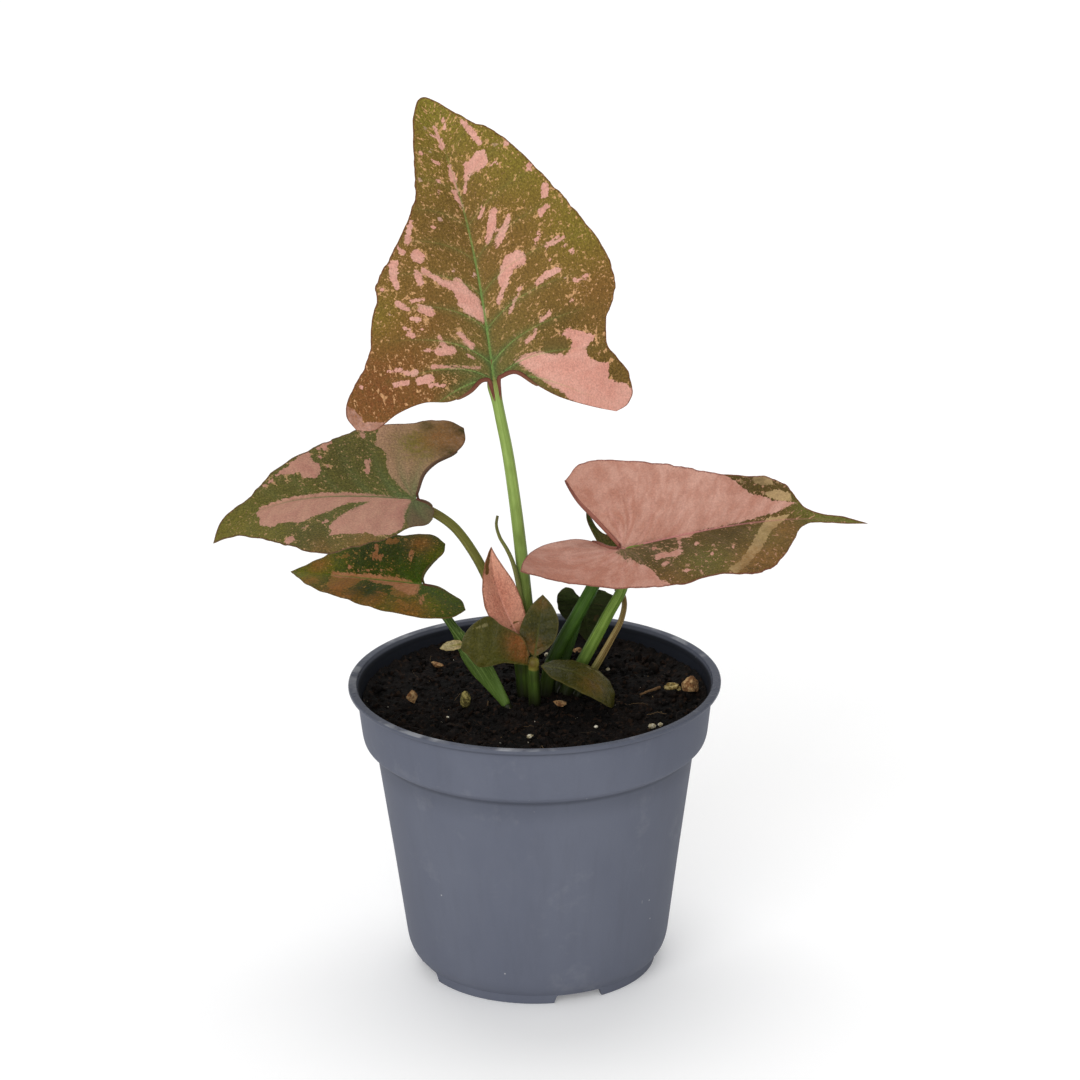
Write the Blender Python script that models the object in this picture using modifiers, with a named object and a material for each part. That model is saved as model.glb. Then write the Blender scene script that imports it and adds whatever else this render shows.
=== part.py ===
"""A young arrowhead plant (syngonium) in a plastic grower's pot.

Metres, +Z up. The pot stands on its foot ring at z = 0. Lengths inside the tables below are
millimetres and angles are degrees, and everything is turned into metres when it is built.
"""

import math
from dataclasses import dataclass

import bmesh
import bpy
import numpy as np
from mathutils import Matrix, Vector

NAME = "potted_syngonium"
MM = 0.001
GAP = 0.3                   # clearance between pieces that touch, mm
SHEET = 0.6                 # thickness of a leaf blade, mm
TURN_STEPS = 48             # facets round the pot
STATIONS = 200              # points along a blade's midrib where its bend is worked out
LINE_SAMPLES = 16           # fine points between two points of a route
MERGE = 1e-6                # weld distance, m
SEAM_MERGE = 2e-5           # weld distance where the two halves of a blade meet, m
SHARP_ANGLE = 40.0          # edges sharper than this stay sharp, degrees

# ---------------------------------------------------------------- pot and soil

RIM_HEIGHT = 97.0
WALL = 1.2
LIP_RADIUS = 60.0
LIP_DROP = 1.2
LIP_BEAD = 0.35             # chamfer on the lip's outer edge
LIP_INSET = 0.1             # how far the lip's inner edge stands out from the collar's skin
LIP_EASE = (0.3, 1.0)       # chamfer on the lip's inner edge, across and down
COLLAR = ((57.3, 94.8), (56.6, 88.0), (55.7, 80.4))
SHOULDER = ((55.2, 78.4), (53.2, 76.9), (51.7, 75.7))
BODY = ((51.2, 74.0), (46.3, 39.0), (43.0, 14.0), (42.4, 9.5))
CORNER = ((41.4, 6.5), (39.8, 4.2))
FOOT_RADIUS = 38.2
FOOT_HEIGHT = 3.2
FOOT_WIDTH = 1.9
FOOT_DRAFT = (0.4, 0.3)     # how much wider the foot ring is at its root, outside and inside
FLOOR_UNDERSIDE = 3.4
FLOOR_TOP = FLOOR_UNDERSIDE + WALL
FLOOR_CORNER = ((0.9, 1.6), (-0.4, 0.0))    # bevel inside, out from the corner and up
NOTCH_TURN = 20.0           # first foot notch, degrees from the front towards +X
NOTCH_COUNT = 4
NOTCH_WIDTH = 16.0
NOTCH_HEIGHT = 2.8
NOTCH_REACH = 6.0           # length of a notch's cutter through the foot ring
DRAIN_RADIUS = 4.0
DRAIN_CIRCLE = 29.0
CENTRE_DRAIN_RADIUS = 5.0
DRAIN_SIDES = 20
DRAIN_REACH = 8.0           # height of a drain's cutter, from z = 0
SOIL_TOP = ((0.0, 89.8), (14.0, 89.7), (30.0, 89.3), (44.0, 88.8), (50.0, 89.2), (53.0, 90.6))
SOIL_EDGE_HEIGHT = 92.4

# ---------------------------------------------------------------- blades

REAR_REACH = 1.25           # how far the midrib's bend is worked out behind, in lobe lengths
FRONT_REACH = 1.02          # and ahead, in blade lengths
SINUS_SHARE = 0.26          # share of a half's rows that run along its sinus
END_ON = 0.35               # a stalk that meets its blade flatter than this ends behind it

# ---------------------------------------------------------------- colours

POT_GREY = (0.142, 0.152, 0.190)
SOIL_BROWN = (0.012, 0.008, 0.006)
STEM_GREEN = (0.150, 0.260, 0.050)
OLIVE = (0.110, 0.095, 0.025)
DARK_GREEN = (0.045, 0.060, 0.022)
PINK = (0.480, 0.215, 0.165)
STRAW = (0.300, 0.230, 0.110)
WHITE = (0.620, 0.600, 0.550)
BARK = (0.220, 0.095, 0.035)
LEAF_ROUGHNESS = 0.45
STEM_ROUGHNESS = 0.5
POT_ROUGHNESS = 0.45
SOIL_ROUGHNESS = 0.95
GRAIN_ROUGHNESS = 0.8


@dataclass(frozen=True)
class Blade:
    """One leaf blade.

    The blade is drawn flat, x forward along the midrib from the point where the stalk meets it
    and y to the leaf's left. It is then stood up by heading, pitch and roll, and bent: droop
    turns the midrib down towards the tip, lobe_rise lifts the basal lobes, sweep turns it to the
    left and twist turns it about itself. fold is the rise of each half at the midrib and curl
    the turn that brings its margin down again, as (left, right) at the lobes, at mid-blade and
    at the tip.
    """

    name: str
    base: tuple
    heading: float
    pitch: float
    roll: float
    length: float
    lobe: float
    width: float
    fold: tuple
    curl: tuple
    left: tuple
    right: tuple
    left_sinus: tuple = ()
    right_sinus: tuple = ()
    droop: float = 0.0
    droop_power: float = 2.0
    lobe_rise: float = 0.0
    sweep: float = 0.0
    twist: tuple = (0.0, 0.0)
    middle: float = 0.35
    rows: int = 20
    columns: int = 5
    colour: tuple = OLIVE


@dataclass(frozen=True)
class Stalk:
    """A leaf stalk: its route from the blade down, and its radius at the top and at the foot."""

    name: str
    route: tuple
    top_radius: float
    foot_radius: float
    blade: str = ""
    points: int = 16
    colour: tuple = STEM_GREEN


@dataclass(frozen=True)
class Stub:
    """The planted foot of a stalk: its way down from the stalk's own foot to the root neck.

    A stub with no stalk is the neck under the young bud.
    """

    stalk: str
    route: tuple
    top_radius: float
    foot_radius: float


LEAVES = (
    Blade("upright_leaf", (-11.6, 6.0, 196.4), 118, 75, -13, 93, 42, 42,
          fold=((12, 8), (17, 12), (22, 12)), curl=((10, 20), (14, 18), (10, 20)),
          left=((92.8, 0), (92, 2), (86.5, 6.6), (74, 12), (63, 15.6), (54, 22), (44, 30),
                (37.5, 35.2), (33, 35.6), (27, 38), (15, 41), (4, 48), (-3, 50.6), (-8, 48)),
          left_sinus=((-9, 42), (-5, 34), (-3, 25), (-4, 16), (-2, 9), (1, 4)),
          right=((92.8, 0), (92.5, -1.2), (90.2, -3.4), (85.4, -6.8), (80, -11.2),
                 (74.8, -17), (58, -28), (44, -36.4),
                 (34, -42), (23, -43), (14, -39), (6, -38), (2, -40.4), (-5, -44.4),
                 (-10, -45), (-14, -42.6), (-15.6, -38.4)),
          right_sinus=((-13, -31), (-8, -20), (-3, -13), (2, -7), (1, -2)),
          droop=14, lobe_rise=8, sweep=18, rows=26, columns=6),
    Blade("left_leaf", (-37.2, 10.0, 155.7), 188, 7, -14, 69, 30, 34,
          fold=((4, 22), (10, 24), (20, 18)), curl=((10, 10), (18, 16), (20, 20)),
          left=((69, 0), (62, 6.2), (57, 13.4), (52, 20), (44, 28), (37, 31), (28, 30), (16, 27),
                (9, 23), (4, 18.5), (-1, 17), (-4, 13)),
          left_sinus=((-5, 7), (-4, 3)),
          right=((69, 0), (62, -4), (52, -6), (42, -13), (29, -20), (17, -27), (8, -30),
                 (-3, -33), (-11, -34), (-17, -31)),
          right_sinus=((-17, -25), (-14, -20), (-7, -15), (-3, -10), (-1, -4)),
          droop=48, droop_power=2.6, lobe_rise=-6, sweep=26, twist=(0, -6), rows=22),
    Blade("small_left_leaf", (-35.9, 12.0, 125.8), 173, 4, -12, 45, 20, 24,
          fold=((6, 20), (8, 20), (14, 14)), curl=((10, 10), (14, 14), (16, 16)),
          left=((45, 0), (40, 4), (34, 9), (28, 12), (21, 14), (11, 18), (2, 20), (-6, 20),
                (-13, 18), (-16, 13)),
          left_sinus=((-14, 8), (-10, 5), (-5, 1)),
          right=((45, 0), (39, -5), (32, -11), (24, -16), (17, -19), (8, -21), (0, -22),
                 (-5, -18)),
          right_sinus=((-5, -14), (-2, -9), (0, -4)),
          droop=16, lobe_rise=-6, sweep=-24, twist=(0, -4), rows=16, columns=4,
          colour=DARK_GREEN),
    Blade("right_leaf", (28.4, 0.0, 141.5), 4, 12, 10, 80, 34, 34,
          fold=((44, 4), (44, 4), (34, -14)), curl=((16, 10), (16, 18), (40, 40)),
          left=((80, 0), (72, 1.4), (64, 2.2), (59, 5), (55, 12), (50, 15.5), (41, 16.8), (33, 19),
                (24, 23.2), (14, 27.2), (0, 32), (-8, 31.8), (-15.2, 27)),
          left_sinus=((-11, 19), (-7, 13), (-3, 6)),
          right=((80, 0), (72, -1.4), (63, -1.6), (58.5, -3), (55, -9), (49.8, -18),
                 (43.5, -24.6), (35, -27), (27, -26), (15, -27), (3, -25), (-7, -21.4),
                 (-19, -16.2), (-29, -14.2), (-36, -16)),
          right_sinus=((-33, -6), (-27, 6), (-20, 13), (-14, 15), (-8, 10), (-4, 3)),
          droop=26, lobe_rise=44, rows=24, columns=6, colour=PINK),
    Blade("inner_leaf", (24.2, 12.0, 134.0), 18, -4, 6, 36, 16, 14,
          fold=((80, -6), (46, -10), (20, -10)), curl=((6, 10), (20, 20), (20, 30)),
          left=((36, 0), (27, 7), (18, 11), (11, 11.5), (5, 9), (0.5, 7.6), (-3, 10), (-5, 13.4),
                (-6.5, 17)),
          left_sinus=((-6.9, 13), (-5.4, 9), (-2.6, 4)),
          right=((36, 0), (27, -4.5), (18, -7), (8, -8), (-2, -8), (-8, -7)),
          right_sinus=((-7, -4), (-3, -2)),
          droop=34, rows=12, columns=3, colour=DARK_GREEN),
    Blade("back_leaf", (15.8, 21.5, 116.4), 86, -36, 0, 34, 14, 12,
          fold=((6, 6), (10, 10), (12, 12)), curl=((20, 20), (20, 20), (20, 20)),
          left=((34, 0), (26, 5), (17, 8.2), (7, 8.6), (-3, 8), (-9.5, 6.6), (-13, 4.6)),
          left_sinus=((-12, 2.8), (-5, 1.6)),
          right=((34, 0), (26, -5), (17, -9), (7, -10.5), (-4, -10.5), (-11, -8)),
          right_sinus=((-11, -4), (-5, -2)),
          droop=30, rows=12, columns=3, colour=DARK_GREEN),
    Blade("pink_young_leaf", (-1.5, -3.5, 106.6), 165, 60, -50, 38, 3, 10,
          fold=((22, 22), (22, 22), (30, 30)), curl=((10, 10), (10, 10), (20, 20)),
          left=((38, 0), (35, 2), (31, 4), (26, 6), (20, 7), (14, 6.4), (7, 4), (2, 1.5), (0, 0)),
          right=((38, 0), (35, -1.6), (31, -3.6), (26, -5.5), (20, -6.2), (14, -5.6), (8, -4.2),
                 (3, -2.2), (0, 0)),
          sweep=-34, rows=14, columns=3, colour=PINK),
    Blade("low_left_leaf", (-2.2, -6.3, 104.4), 196, 20, -86, 23, 3, 12,
          fold=((0, 0), (0, 0), (0, 0)), curl=((10, 8), (10, 8), (10, 8)),
          left=((23, 0), (22.2, 0.5), (20, 1.6), (17.5, 3.4), (15, 4.2), (12, 3), (8, 1), (4, 0.4),
                (0, 0)),
          right=((23, 0), (23.2, -4), (21.4, -8.8), (17, -12.4), (12, -10.6), (8, -9.8),
                 (4.6, -8.6), (1.8, -5.6), (0.3, -2.4), (0, 0)),
          droop=14, droop_power=1.6, rows=12, columns=3),
    Blade("low_back_leaf", (0.15, -5.3, 106.75), 60, 74, 33, 20.5, 3, 8,
          fold=((2, 12), (4, 12), (6, 12)), curl=((8, 10), (8, 10), (10, 10)),
          left=((20.5, 0), (17, 3), (12, 5.2), (8, 5.9), (4, 4.8), (1.5, 2.1), (0, 0)),
          right=((20.5, 0), (17.5, -3.4), (13, -6), (9, -6.2), (5, -5), (1.5, -1.8), (0, 0)),
          rows=12, columns=3),
    Blade("low_right_leaf", (2.1, -4.6, 103.7), -18, -3, 20, 30, 3, 10,
          fold=((-10, 10), (-10, 10), (0, 10)), curl=((10, 30), (10, 30), (10, 20)),
          left=((30, 0), (27, 3), (22, 5), (17, 6), (11, 6.6), (5, 5.6), (1.5, 3), (0, 0)),
          right=((30, 0), (28, -3.4), (24, -6), (18, -7.4), (12, -6.8), (6, -5.4), (2, -2.6),
                 (0, 0)),
          droop=92, droop_power=2.2, rows=14, columns=3),
    Blade("dry_bract", (-22.6, 5.6, 107.6), 190, -8, -30, 8, 2, 4,
          fold=((10, 10), (10, 10), (10, 10)), curl=((10, 10), (10, 10), (10, 10)),
          left=((8, 0), (6, 1.6), (3, 2), (1, 1.4), (0, 0)),
          right=((8, 0), (6, -1.6), (3, -2), (1, -1.4), (0, 0)),
          rows=6, columns=2, colour=STRAW),
)

STALKS = (
    Stalk("upright_stalk", ((-9.9, 6.0, 185.0), (-7.8, 6.0, 173.3), (-5.8, 5.6, 158.0),
                            (-4.2, 5.0, 143.0), (-2.5, 4.4, 123.0), (-1.0, 4.0, 104.3)),
          1.6, 2.2, "upright_leaf"),
    Stalk("left_stalk", ((-33.6, 10.2, 151.9), (-30.2, 9.8, 150.2), (-24.8, 9.0, 146.0),
                         (-18.6, 8.2, 137.0), (-13.8, 7.2, 127.0), (-9.3, 6.2, 115.4),
                         (-5.4, 5.6, 104.3)),
          1.4, 1.7, "left_leaf"),
    Stalk("right_stalk", ((29.4, 1.0, 134.4), (28.4, 2.6, 127.0), (24.1, 4.0, 118.0),
                          (19.7, 4.9, 109.0), (14.2, 5.4, 98.3)),
          1.5, 2.1, "right_leaf"),
    Stalk("inner_stalk", ((21.4, 10.6, 129.4), (18.6, 9.0, 124.4), (13.3, 7.2, 115.0),
                          (8.7, 6.4, 107.0), (6.0, 6.2, 101.3)),
          1.9, 2.3, "inner_leaf"),
    Stalk("back_stalk", ((14.8, 20.6, 112.8), (12.9, 17.4, 106.8), (10.3, 13.2, 100.6),
                         (8.6, 10.8, 96.8)),
          1.3, 1.8, "back_leaf", points=10),
)

DRY_STALK = Stalk("dry_stalk", ((26.4, 9.0, 124.6), (28.3, 9.0, 123.2), (29.2, 8.4, 119.8),
                                (28.0, 6.8, 114.4), (24.8, 5.2, 108.6), (20.4, 4.2, 100.9),
                                (17.4, 3.8, 96.0)), 0.7, 1.25, points=20, colour=STRAW)
SHEATH_TIP = Stalk("sheath_tip", ((-11.2, 3.4, 152.0), (-11.6, 3.2, 149.0), (-10.6, 2.9, 145.0),
                                  (-8.4, 2.5, 141.0), (-6.7, 2.3, 137.0), (-5.2, 1.9, 131.0),
                                  (-4.2, 1.6, 124.5)), 0.35, 0.7, points=14)

# The sheath at the foot of the small left leaf's stalk is wide and flat.
SHEATHED_STALK = Stalk("small_left_stalk",
                       ((-32.6, 11.2, 121.4), (-28.0, 10.0, 114.8), (-22.9, 8.0, 107.9),
                        (-17.0, 4.2, 101.0), (-12.8, -0.6, 95.6), (-9.4, -4.6, 90.9)),
                       1.2, 1.4, "small_left_leaf", points=22)
SHEATH_WIDTHS = ((0.0, 1.0), (0.45, 1.2), (0.62, 3.2), (0.72, 3.3), (1.0, 1.05))
SHEATH_DEPTH = (0.25, 0.95, 0.2)    # the way that the sheath is thin
SHEATH_SIDES = 10

STUBS = (
    Stub("upright_stalk", ((-1.1, 4.3, 97.0), (-0.8, 4.6, 88.0), (0.0, 5.0, 72.0)), 2.2, 2.6),
    Stub("left_stalk", ((-4.2, 5.8, 97.0), (-3.6, 5.8, 88.0), (-0.6, 5.4, 72.5)), 1.7, 2.3),
    Stub("small_left_stalk", ((-7.4, -5.0, 87.0), (-4.0, 0.6, 79.0), (-1.0, 4.8, 73.0)), 1.4, 2.0),
    Stub("right_stalk", ((10.6, 5.8, 91.0), (7.0, 5.6, 81.0), (1.4, 5.2, 72.8)), 2.1, 2.4),
    Stub("inner_stalk", ((4.0, 6.2, 93.0), (2.6, 5.8, 82.0), (0.8, 5.2, 72.4)), 2.3, 2.5),
    Stub("back_stalk", ((6.8, 9.0, 90.0), (4.4, 7.4, 81.0), (1.0, 5.6, 73.2)), 1.8, 2.1),
    Stub("dry_stalk", ((14.0, 3.8, 89.6), (9.0, 4.4, 81.0), (1.6, 4.8, 73.4)), 1.25, 1.6),
    Stub("", ((-0.3, -4.0, 103.8), (-0.2, -3.6, 97.0), (0.0, -2.4, 88.0), (0.0, 4.0, 73.6)),
         1.9, 2.3),
)
STUB_POINTS = 9
STUB_LEAD = 3.0             # straight stretch at a stub's top, in line with its stalk, mm
BUD_CENTRE = (-0.3, -4.0, 104.3)
BUD_RADIUS = 2.0
BUD_SIDES = (12, 8)

# Grains and chips on the soil: place across it (x, y), length, width and height, turn.
PERLITE = ((37.2, -23.2, 2.6, 2.0, 1.6, 20), (39.9, -21.8, 1.8, 1.6, 1.3, 70),
           (-1.6, -31.2, 2.4, 1.8, 1.3, 40), (19.4, -23.5, 1.3, 1.1, 0.9, 0),
           (-28.0, -14.0, 1.2, 1.0, 0.8, 80), (24.0, 26.0, 1.5, 1.2, 1.0, 50),
           (-20.0, 30.0, 1.6, 1.4, 1.1, 15), (4.0, 40.0, 1.8, 1.4, 1.2, 65))
BARK_CHIPS = ((8.2, -6.0, 4.8, 2.6, 2.0, 15), (-39.7, 0.5, 3.6, 3.0, 4.0, 60),
              (51.0, 5.0, 5.6, 4.6, 5.0, 35), (-32.0, 32.0, 5.0, 2.6, 1.6, 120),
              (14.0, 43.0, 4.4, 2.6, 1.6, 75), (-16.0, -40.0, 3.2, 2.0, 1.2, 150))
SEED_HUSKS = ((-22.3, -5.9, 3.6, 3.4, 6.0, 0), (44.4, 6.4, 6.2, 4.0, 5.4, 0))
CHIP_SIDES = 8
CHIP_RINGS = 5
TWIG = ((34.0, 3.6, 89.9), (36.6, 5.4, 90.3), (40.6, 9.6, 90.0))
TWIG_POINTS = 7
TWIG_RADII = (0.35, 0.5)


def turn(degrees):
    """A turn about +Z."""
    return Matrix.Rotation(math.radians(degrees), 4, "Z")


def clear_scene():
    """Remove everything that a new Blender file starts with."""
    for obj in list(bpy.data.objects):
        bpy.data.objects.remove(obj, do_unlink=True)


def new_collection(name):
    """A collection linked to the scene."""
    collection = bpy.data.collections.new(name)
    bpy.context.scene.collection.children.link(collection)
    return collection


def material(name, colour, roughness):
    """A plain non-metallic surface."""
    mat = bpy.data.materials.new(name)
    mat.use_nodes = True
    shader = mat.node_tree.nodes["Principled BSDF"]
    shader.inputs["Base Color"].default_value = (*colour, 1.0)
    shader.inputs["Roughness"].default_value = roughness
    shader.inputs["Metallic"].default_value = 0.0
    return mat


def mesh_object(name, bm, collection, colour=None, roughness=GRAIN_ROUGHNESS):
    """An object that holds the faces of a bmesh, in metres."""
    bmesh.ops.recalc_face_normals(bm, faces=bm.faces)
    mesh = bpy.data.meshes.new(name)
    bm.to_mesh(mesh)
    bm.free()
    mesh.shade_smooth()
    mesh.set_sharp_from_angle(angle=math.radians(SHARP_ANGLE))
    obj = bpy.data.objects.new(name, mesh)
    collection.objects.link(obj)
    if colour is not None:
        mesh.materials.append(material(name, colour, roughness))
    return obj


def as_cutter(obj):
    """Hide a helper object, which only cuts or joins others."""
    obj.hide_render = True
    obj.display_type = "WIRE"
    return obj


def boolean(obj, other, operation):
    """Cut another object from this one, or join it to this one."""
    modifier = obj.modifiers.new(other.name, "BOOLEAN")
    modifier.object = other
    modifier.operation = operation
    modifier.solver = "EXACT"


def smooth_line(points, count):
    """Evenly spaced points on a smooth curve through the given ones (centripetal Catmull-Rom)."""
    knots = np.array(points, dtype=float)
    ends = np.vstack([2 * knots[0] - knots[1], knots, 2 * knots[-1] - knots[-2]])
    steps = np.sqrt(np.linalg.norm(np.diff(ends, axis=0), axis=1))
    times = np.concatenate([[0.0], np.cumsum(steps)])
    fine = []
    for i in range(1, len(ends) - 2):
        p0, p1, p2, p3 = ends[i - 1:i + 3]
        t0, t1, t2, t3 = times[i - 1:i + 3]
        for t in np.linspace(t1, t2, LINE_SAMPLES, endpoint=False):
            a1 = (p0 * (t1 - t) + p1 * (t - t0)) / (t1 - t0)
            a2 = (p1 * (t2 - t) + p2 * (t - t1)) / (t2 - t1)
            a3 = (p2 * (t3 - t) + p3 * (t - t2)) / (t3 - t2)
            b1 = (a1 * (t2 - t) + a2 * (t - t0)) / (t2 - t0)
            b2 = (a2 * (t3 - t) + a3 * (t - t1)) / (t3 - t1)
            fine.append((b1 * (t2 - t) + b2 * (t - t1)) / (t2 - t1))
    fine.append(knots[-1])
    fine = np.array(fine)
    along = np.concatenate([[0.0], np.cumsum(np.linalg.norm(np.diff(fine, axis=0), axis=1))])
    wanted = np.linspace(0.0, along[-1], count)
    return np.stack([np.interp(wanted, along, fine[:, k]) for k in range(fine.shape[1])], axis=1)


# ---------------------------------------------------------------- leaf blades

def smoothstep(t):
    """An eased step from 0 to 1."""
    t = np.clip(t, 0.0, 1.0)
    return t * t * (3.0 - 2.0 * t)


def blade_axes(blade):
    """The blade's forward, left and upward directions where the stalk meets it."""
    heading, pitch, roll = (math.radians(a) for a in (blade.heading, blade.pitch, blade.roll))
    forward = np.array([math.cos(heading) * math.cos(pitch),
                        math.sin(heading) * math.cos(pitch), math.sin(pitch)])
    side = np.array([-math.sin(heading), math.cos(heading), 0.0])
    up = np.cross(forward, side)
    return (forward, side * math.cos(roll) + up * math.sin(roll),
            up * math.cos(roll) - side * math.sin(roll))


def midrib(blade):
    """Stations along the bent midrib: x, centre, left and upward directions."""
    forward, side, up = blade_axes(blade)
    xs = np.linspace(-REAR_REACH * blade.lobe, FRONT_REACH * blade.length, STATIONS)
    ahead = np.clip(xs / blade.length, 0.0, None)
    behind = np.clip(-xs / blade.lobe, 0.0, None)
    droop = np.radians(blade.droop) * ahead ** blade.droop_power
    droop += np.radians(blade.lobe_rise) * behind ** 2
    sweep = np.radians(blade.sweep) * ahead ** 2
    twist = np.radians(blade.twist[1]) * ahead + np.radians(blade.twist[0]) * behind
    swept = np.outer(np.cos(sweep), forward) + np.outer(np.sin(sweep), side)
    sides = np.outer(np.cos(sweep), side) - np.outer(np.sin(sweep), forward)
    tangents = swept * np.cos(droop)[:, None] - np.outer(np.sin(droop), up)
    ups = np.outer(np.cos(droop), up) + swept * np.sin(droop)[:, None]
    lefts = sides * np.cos(twist)[:, None] + ups * np.sin(twist)[:, None]
    ups = ups * np.cos(twist)[:, None] - sides * np.sin(twist)[:, None]
    steps = 0.5 * (tangents[1:] + tangents[:-1]) * (xs[1] - xs[0])
    centres = np.vstack([np.zeros(3), np.cumsum(steps, axis=0)])
    start = np.array([np.interp(0.0, xs, centres[:, k]) for k in range(3)])
    return xs, centres - start + np.array(blade.base), lefts, ups


def station_value(blade, table, xs, column):
    """A (left, right) table eased between the lobes, mid-blade and the tip."""
    lobe, middle, tip = (row[column] for row in table)
    centre = blade.middle * blade.length
    rear = lobe + (middle - lobe) * smoothstep((xs + blade.lobe) / (centre + blade.lobe))
    front = middle + (tip - middle) * smoothstep((xs - centre) / (blade.length - centre))
    return np.where(xs < centre, rear, front)


def on_blade(blade, rib, flat, side):
    """Places in space, in mm, of flat points (x, y) on one half: side is 1 left, -1 right."""
    xs, centres, lefts, ups = rib
    x = flat[:, 0]
    reach = side * flat[:, 1]
    column = 0 if side > 0 else 1
    fold = np.radians(station_value(blade, blade.fold, x, column))
    curl = np.radians(station_value(blade, blade.curl, x, column)) / blade.width
    curl = np.where(np.abs(curl) < 1e-6, 1e-6, curl)
    across = (np.sin(fold) - np.sin(fold - curl * reach)) / curl
    rise = (np.cos(fold - curl * reach) - np.cos(fold)) / curl
    centre, left, up = (np.stack([np.interp(x, xs, table[:, k]) for k in range(3)], axis=1)
                        for table in (centres, lefts, ups))
    return centre + left * (side * across)[:, None] + up * rise[:, None]


def half_edges(blade, side, count):
    """The inner edge (midrib, then sinus) and the outer margin of one half, tip to lobe."""
    margin = blade.left if side > 0 else blade.right
    sinus = blade.left_sinus if side > 0 else blade.right_sinus
    outer = smooth_line(margin, count)
    back = int(round(SINUS_SHARE * (count - 1))) if sinus else 0
    ahead = count - back
    inner = np.zeros((count, 2))
    inner[:ahead, 0] = np.linspace(margin[0][0], 0.0, ahead)
    if sinus:
        inner[ahead - 1:] = smooth_line(((0.0, 0.0), *sinus[::-1], margin[-1]), back + 1)
    return inner, outer


def blade_half(bm, blade, rib, side):
    """Add one half of the blade to a bmesh as a bent grid."""
    made = bmesh.ops.create_grid(bm, x_segments=blade.rows, y_segments=blade.columns, size=0.5)
    verts = made["verts"]
    inner, outer = half_edges(blade, side, blade.rows + 1)
    rows = [int(round((vert.co.x + 0.5) * blade.rows)) for vert in verts]
    across = np.array([vert.co.y + 0.5 for vert in verts])[:, None]
    flat = inner[rows] * (1.0 - across) + outer[rows] * across
    for vert, place in zip(verts, on_blade(blade, rib, flat, side)):
        vert.co = Vector(place) * MM


def build_blade(blade, collection):
    """A leaf blade: two bent halves that meet on the midrib, thickened to a sheet."""
    bm = bmesh.new()
    rib = midrib(blade)
    blade_half(bm, blade, rib, 1)
    blade_half(bm, blade, rib, -1)
    bmesh.ops.remove_doubles(bm, verts=bm.verts, dist=SEAM_MERGE)
    bmesh.ops.dissolve_degenerate(bm, edges=bm.edges, dist=SEAM_MERGE)
    obj = mesh_object(blade.name, bm, collection, blade.colour, LEAF_ROUGHNESS)
    sheet = obj.modifiers.new("sheet", "SOLIDIFY")
    sheet.thickness = SHEET * MM
    sheet.offset = 0.0
    return obj


# ---------------------------------------------------------------- stalks and crown

def stalk_top(stalk, blade):
    """Where the stalk ends, just clear of the underside of its blade."""
    base = np.array(blade.base)
    arrive = base - np.array(stalk.route[0])
    arrive /= np.linalg.norm(arrive)
    forward, _, up = blade_axes(blade)
    facing = float(arrive @ up)
    clear = 0.5 * SHEET + 1.5 * GAP
    if facing < END_ON:
        return base - forward * clear - up * GAP
    return base - arrive * (clear + stalk.top_radius * math.sqrt(1.0 - facing ** 2)) / facing


def tube(name, line, top_radius, foot_radius, collection, colour):
    """A tapering tube along a line of points, as a curve with filled caps."""
    points = len(line)
    curve = bpy.data.curves.new(name, "CURVE")
    curve.dimensions = "3D"
    curve.bevel_depth = MM
    curve.bevel_resolution = 2
    curve.use_fill_caps = True
    spline = curve.splines.new("POLY")
    spline.points.add(points - 1)
    for i, place in enumerate(line):
        spline.points[i].co = (*(place * MM), 1.0)
        spline.points[i].radius = top_radius + (foot_radius - top_radius) * i / (points - 1)
    curve.materials.append(material(name, colour, STEM_ROUGHNESS))
    obj = bpy.data.objects.new(name, curve)
    collection.objects.link(obj)
    return obj


def to_mesh_object(obj, collection):
    """Turn a curve object into a mesh object whose caps are welded."""
    depsgraph = bpy.context.evaluated_depsgraph_get()
    mesh = bpy.data.meshes.new_from_object(obj.evaluated_get(depsgraph))
    bm = bmesh.new()
    bm.from_mesh(mesh)
    bmesh.ops.remove_doubles(bm, verts=bm.verts, dist=MERGE)
    bm.to_mesh(mesh)
    bm.free()
    solid = bpy.data.objects.new(obj.name, mesh)
    solid.matrix_world = obj.matrix_world.copy()
    bpy.data.objects.remove(obj, do_unlink=True)
    collection.objects.link(solid)
    return solid


def stalk_line(stalk, blades):
    """Points along a stalk, from just under its blade down to its foot."""
    route = stalk.route
    if stalk.blade:
        route = (tuple(stalk_top(stalk, blades[stalk.blade])), *route)
    return smooth_line(route, stalk.points)


def build_stalk(stalk, blades, collection):
    """A leaf stalk from just under its blade down to the crown."""
    return tube(stalk.name, stalk_line(stalk, blades), stalk.top_radius, stalk.foot_radius,
                collection, stalk.colour)


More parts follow.
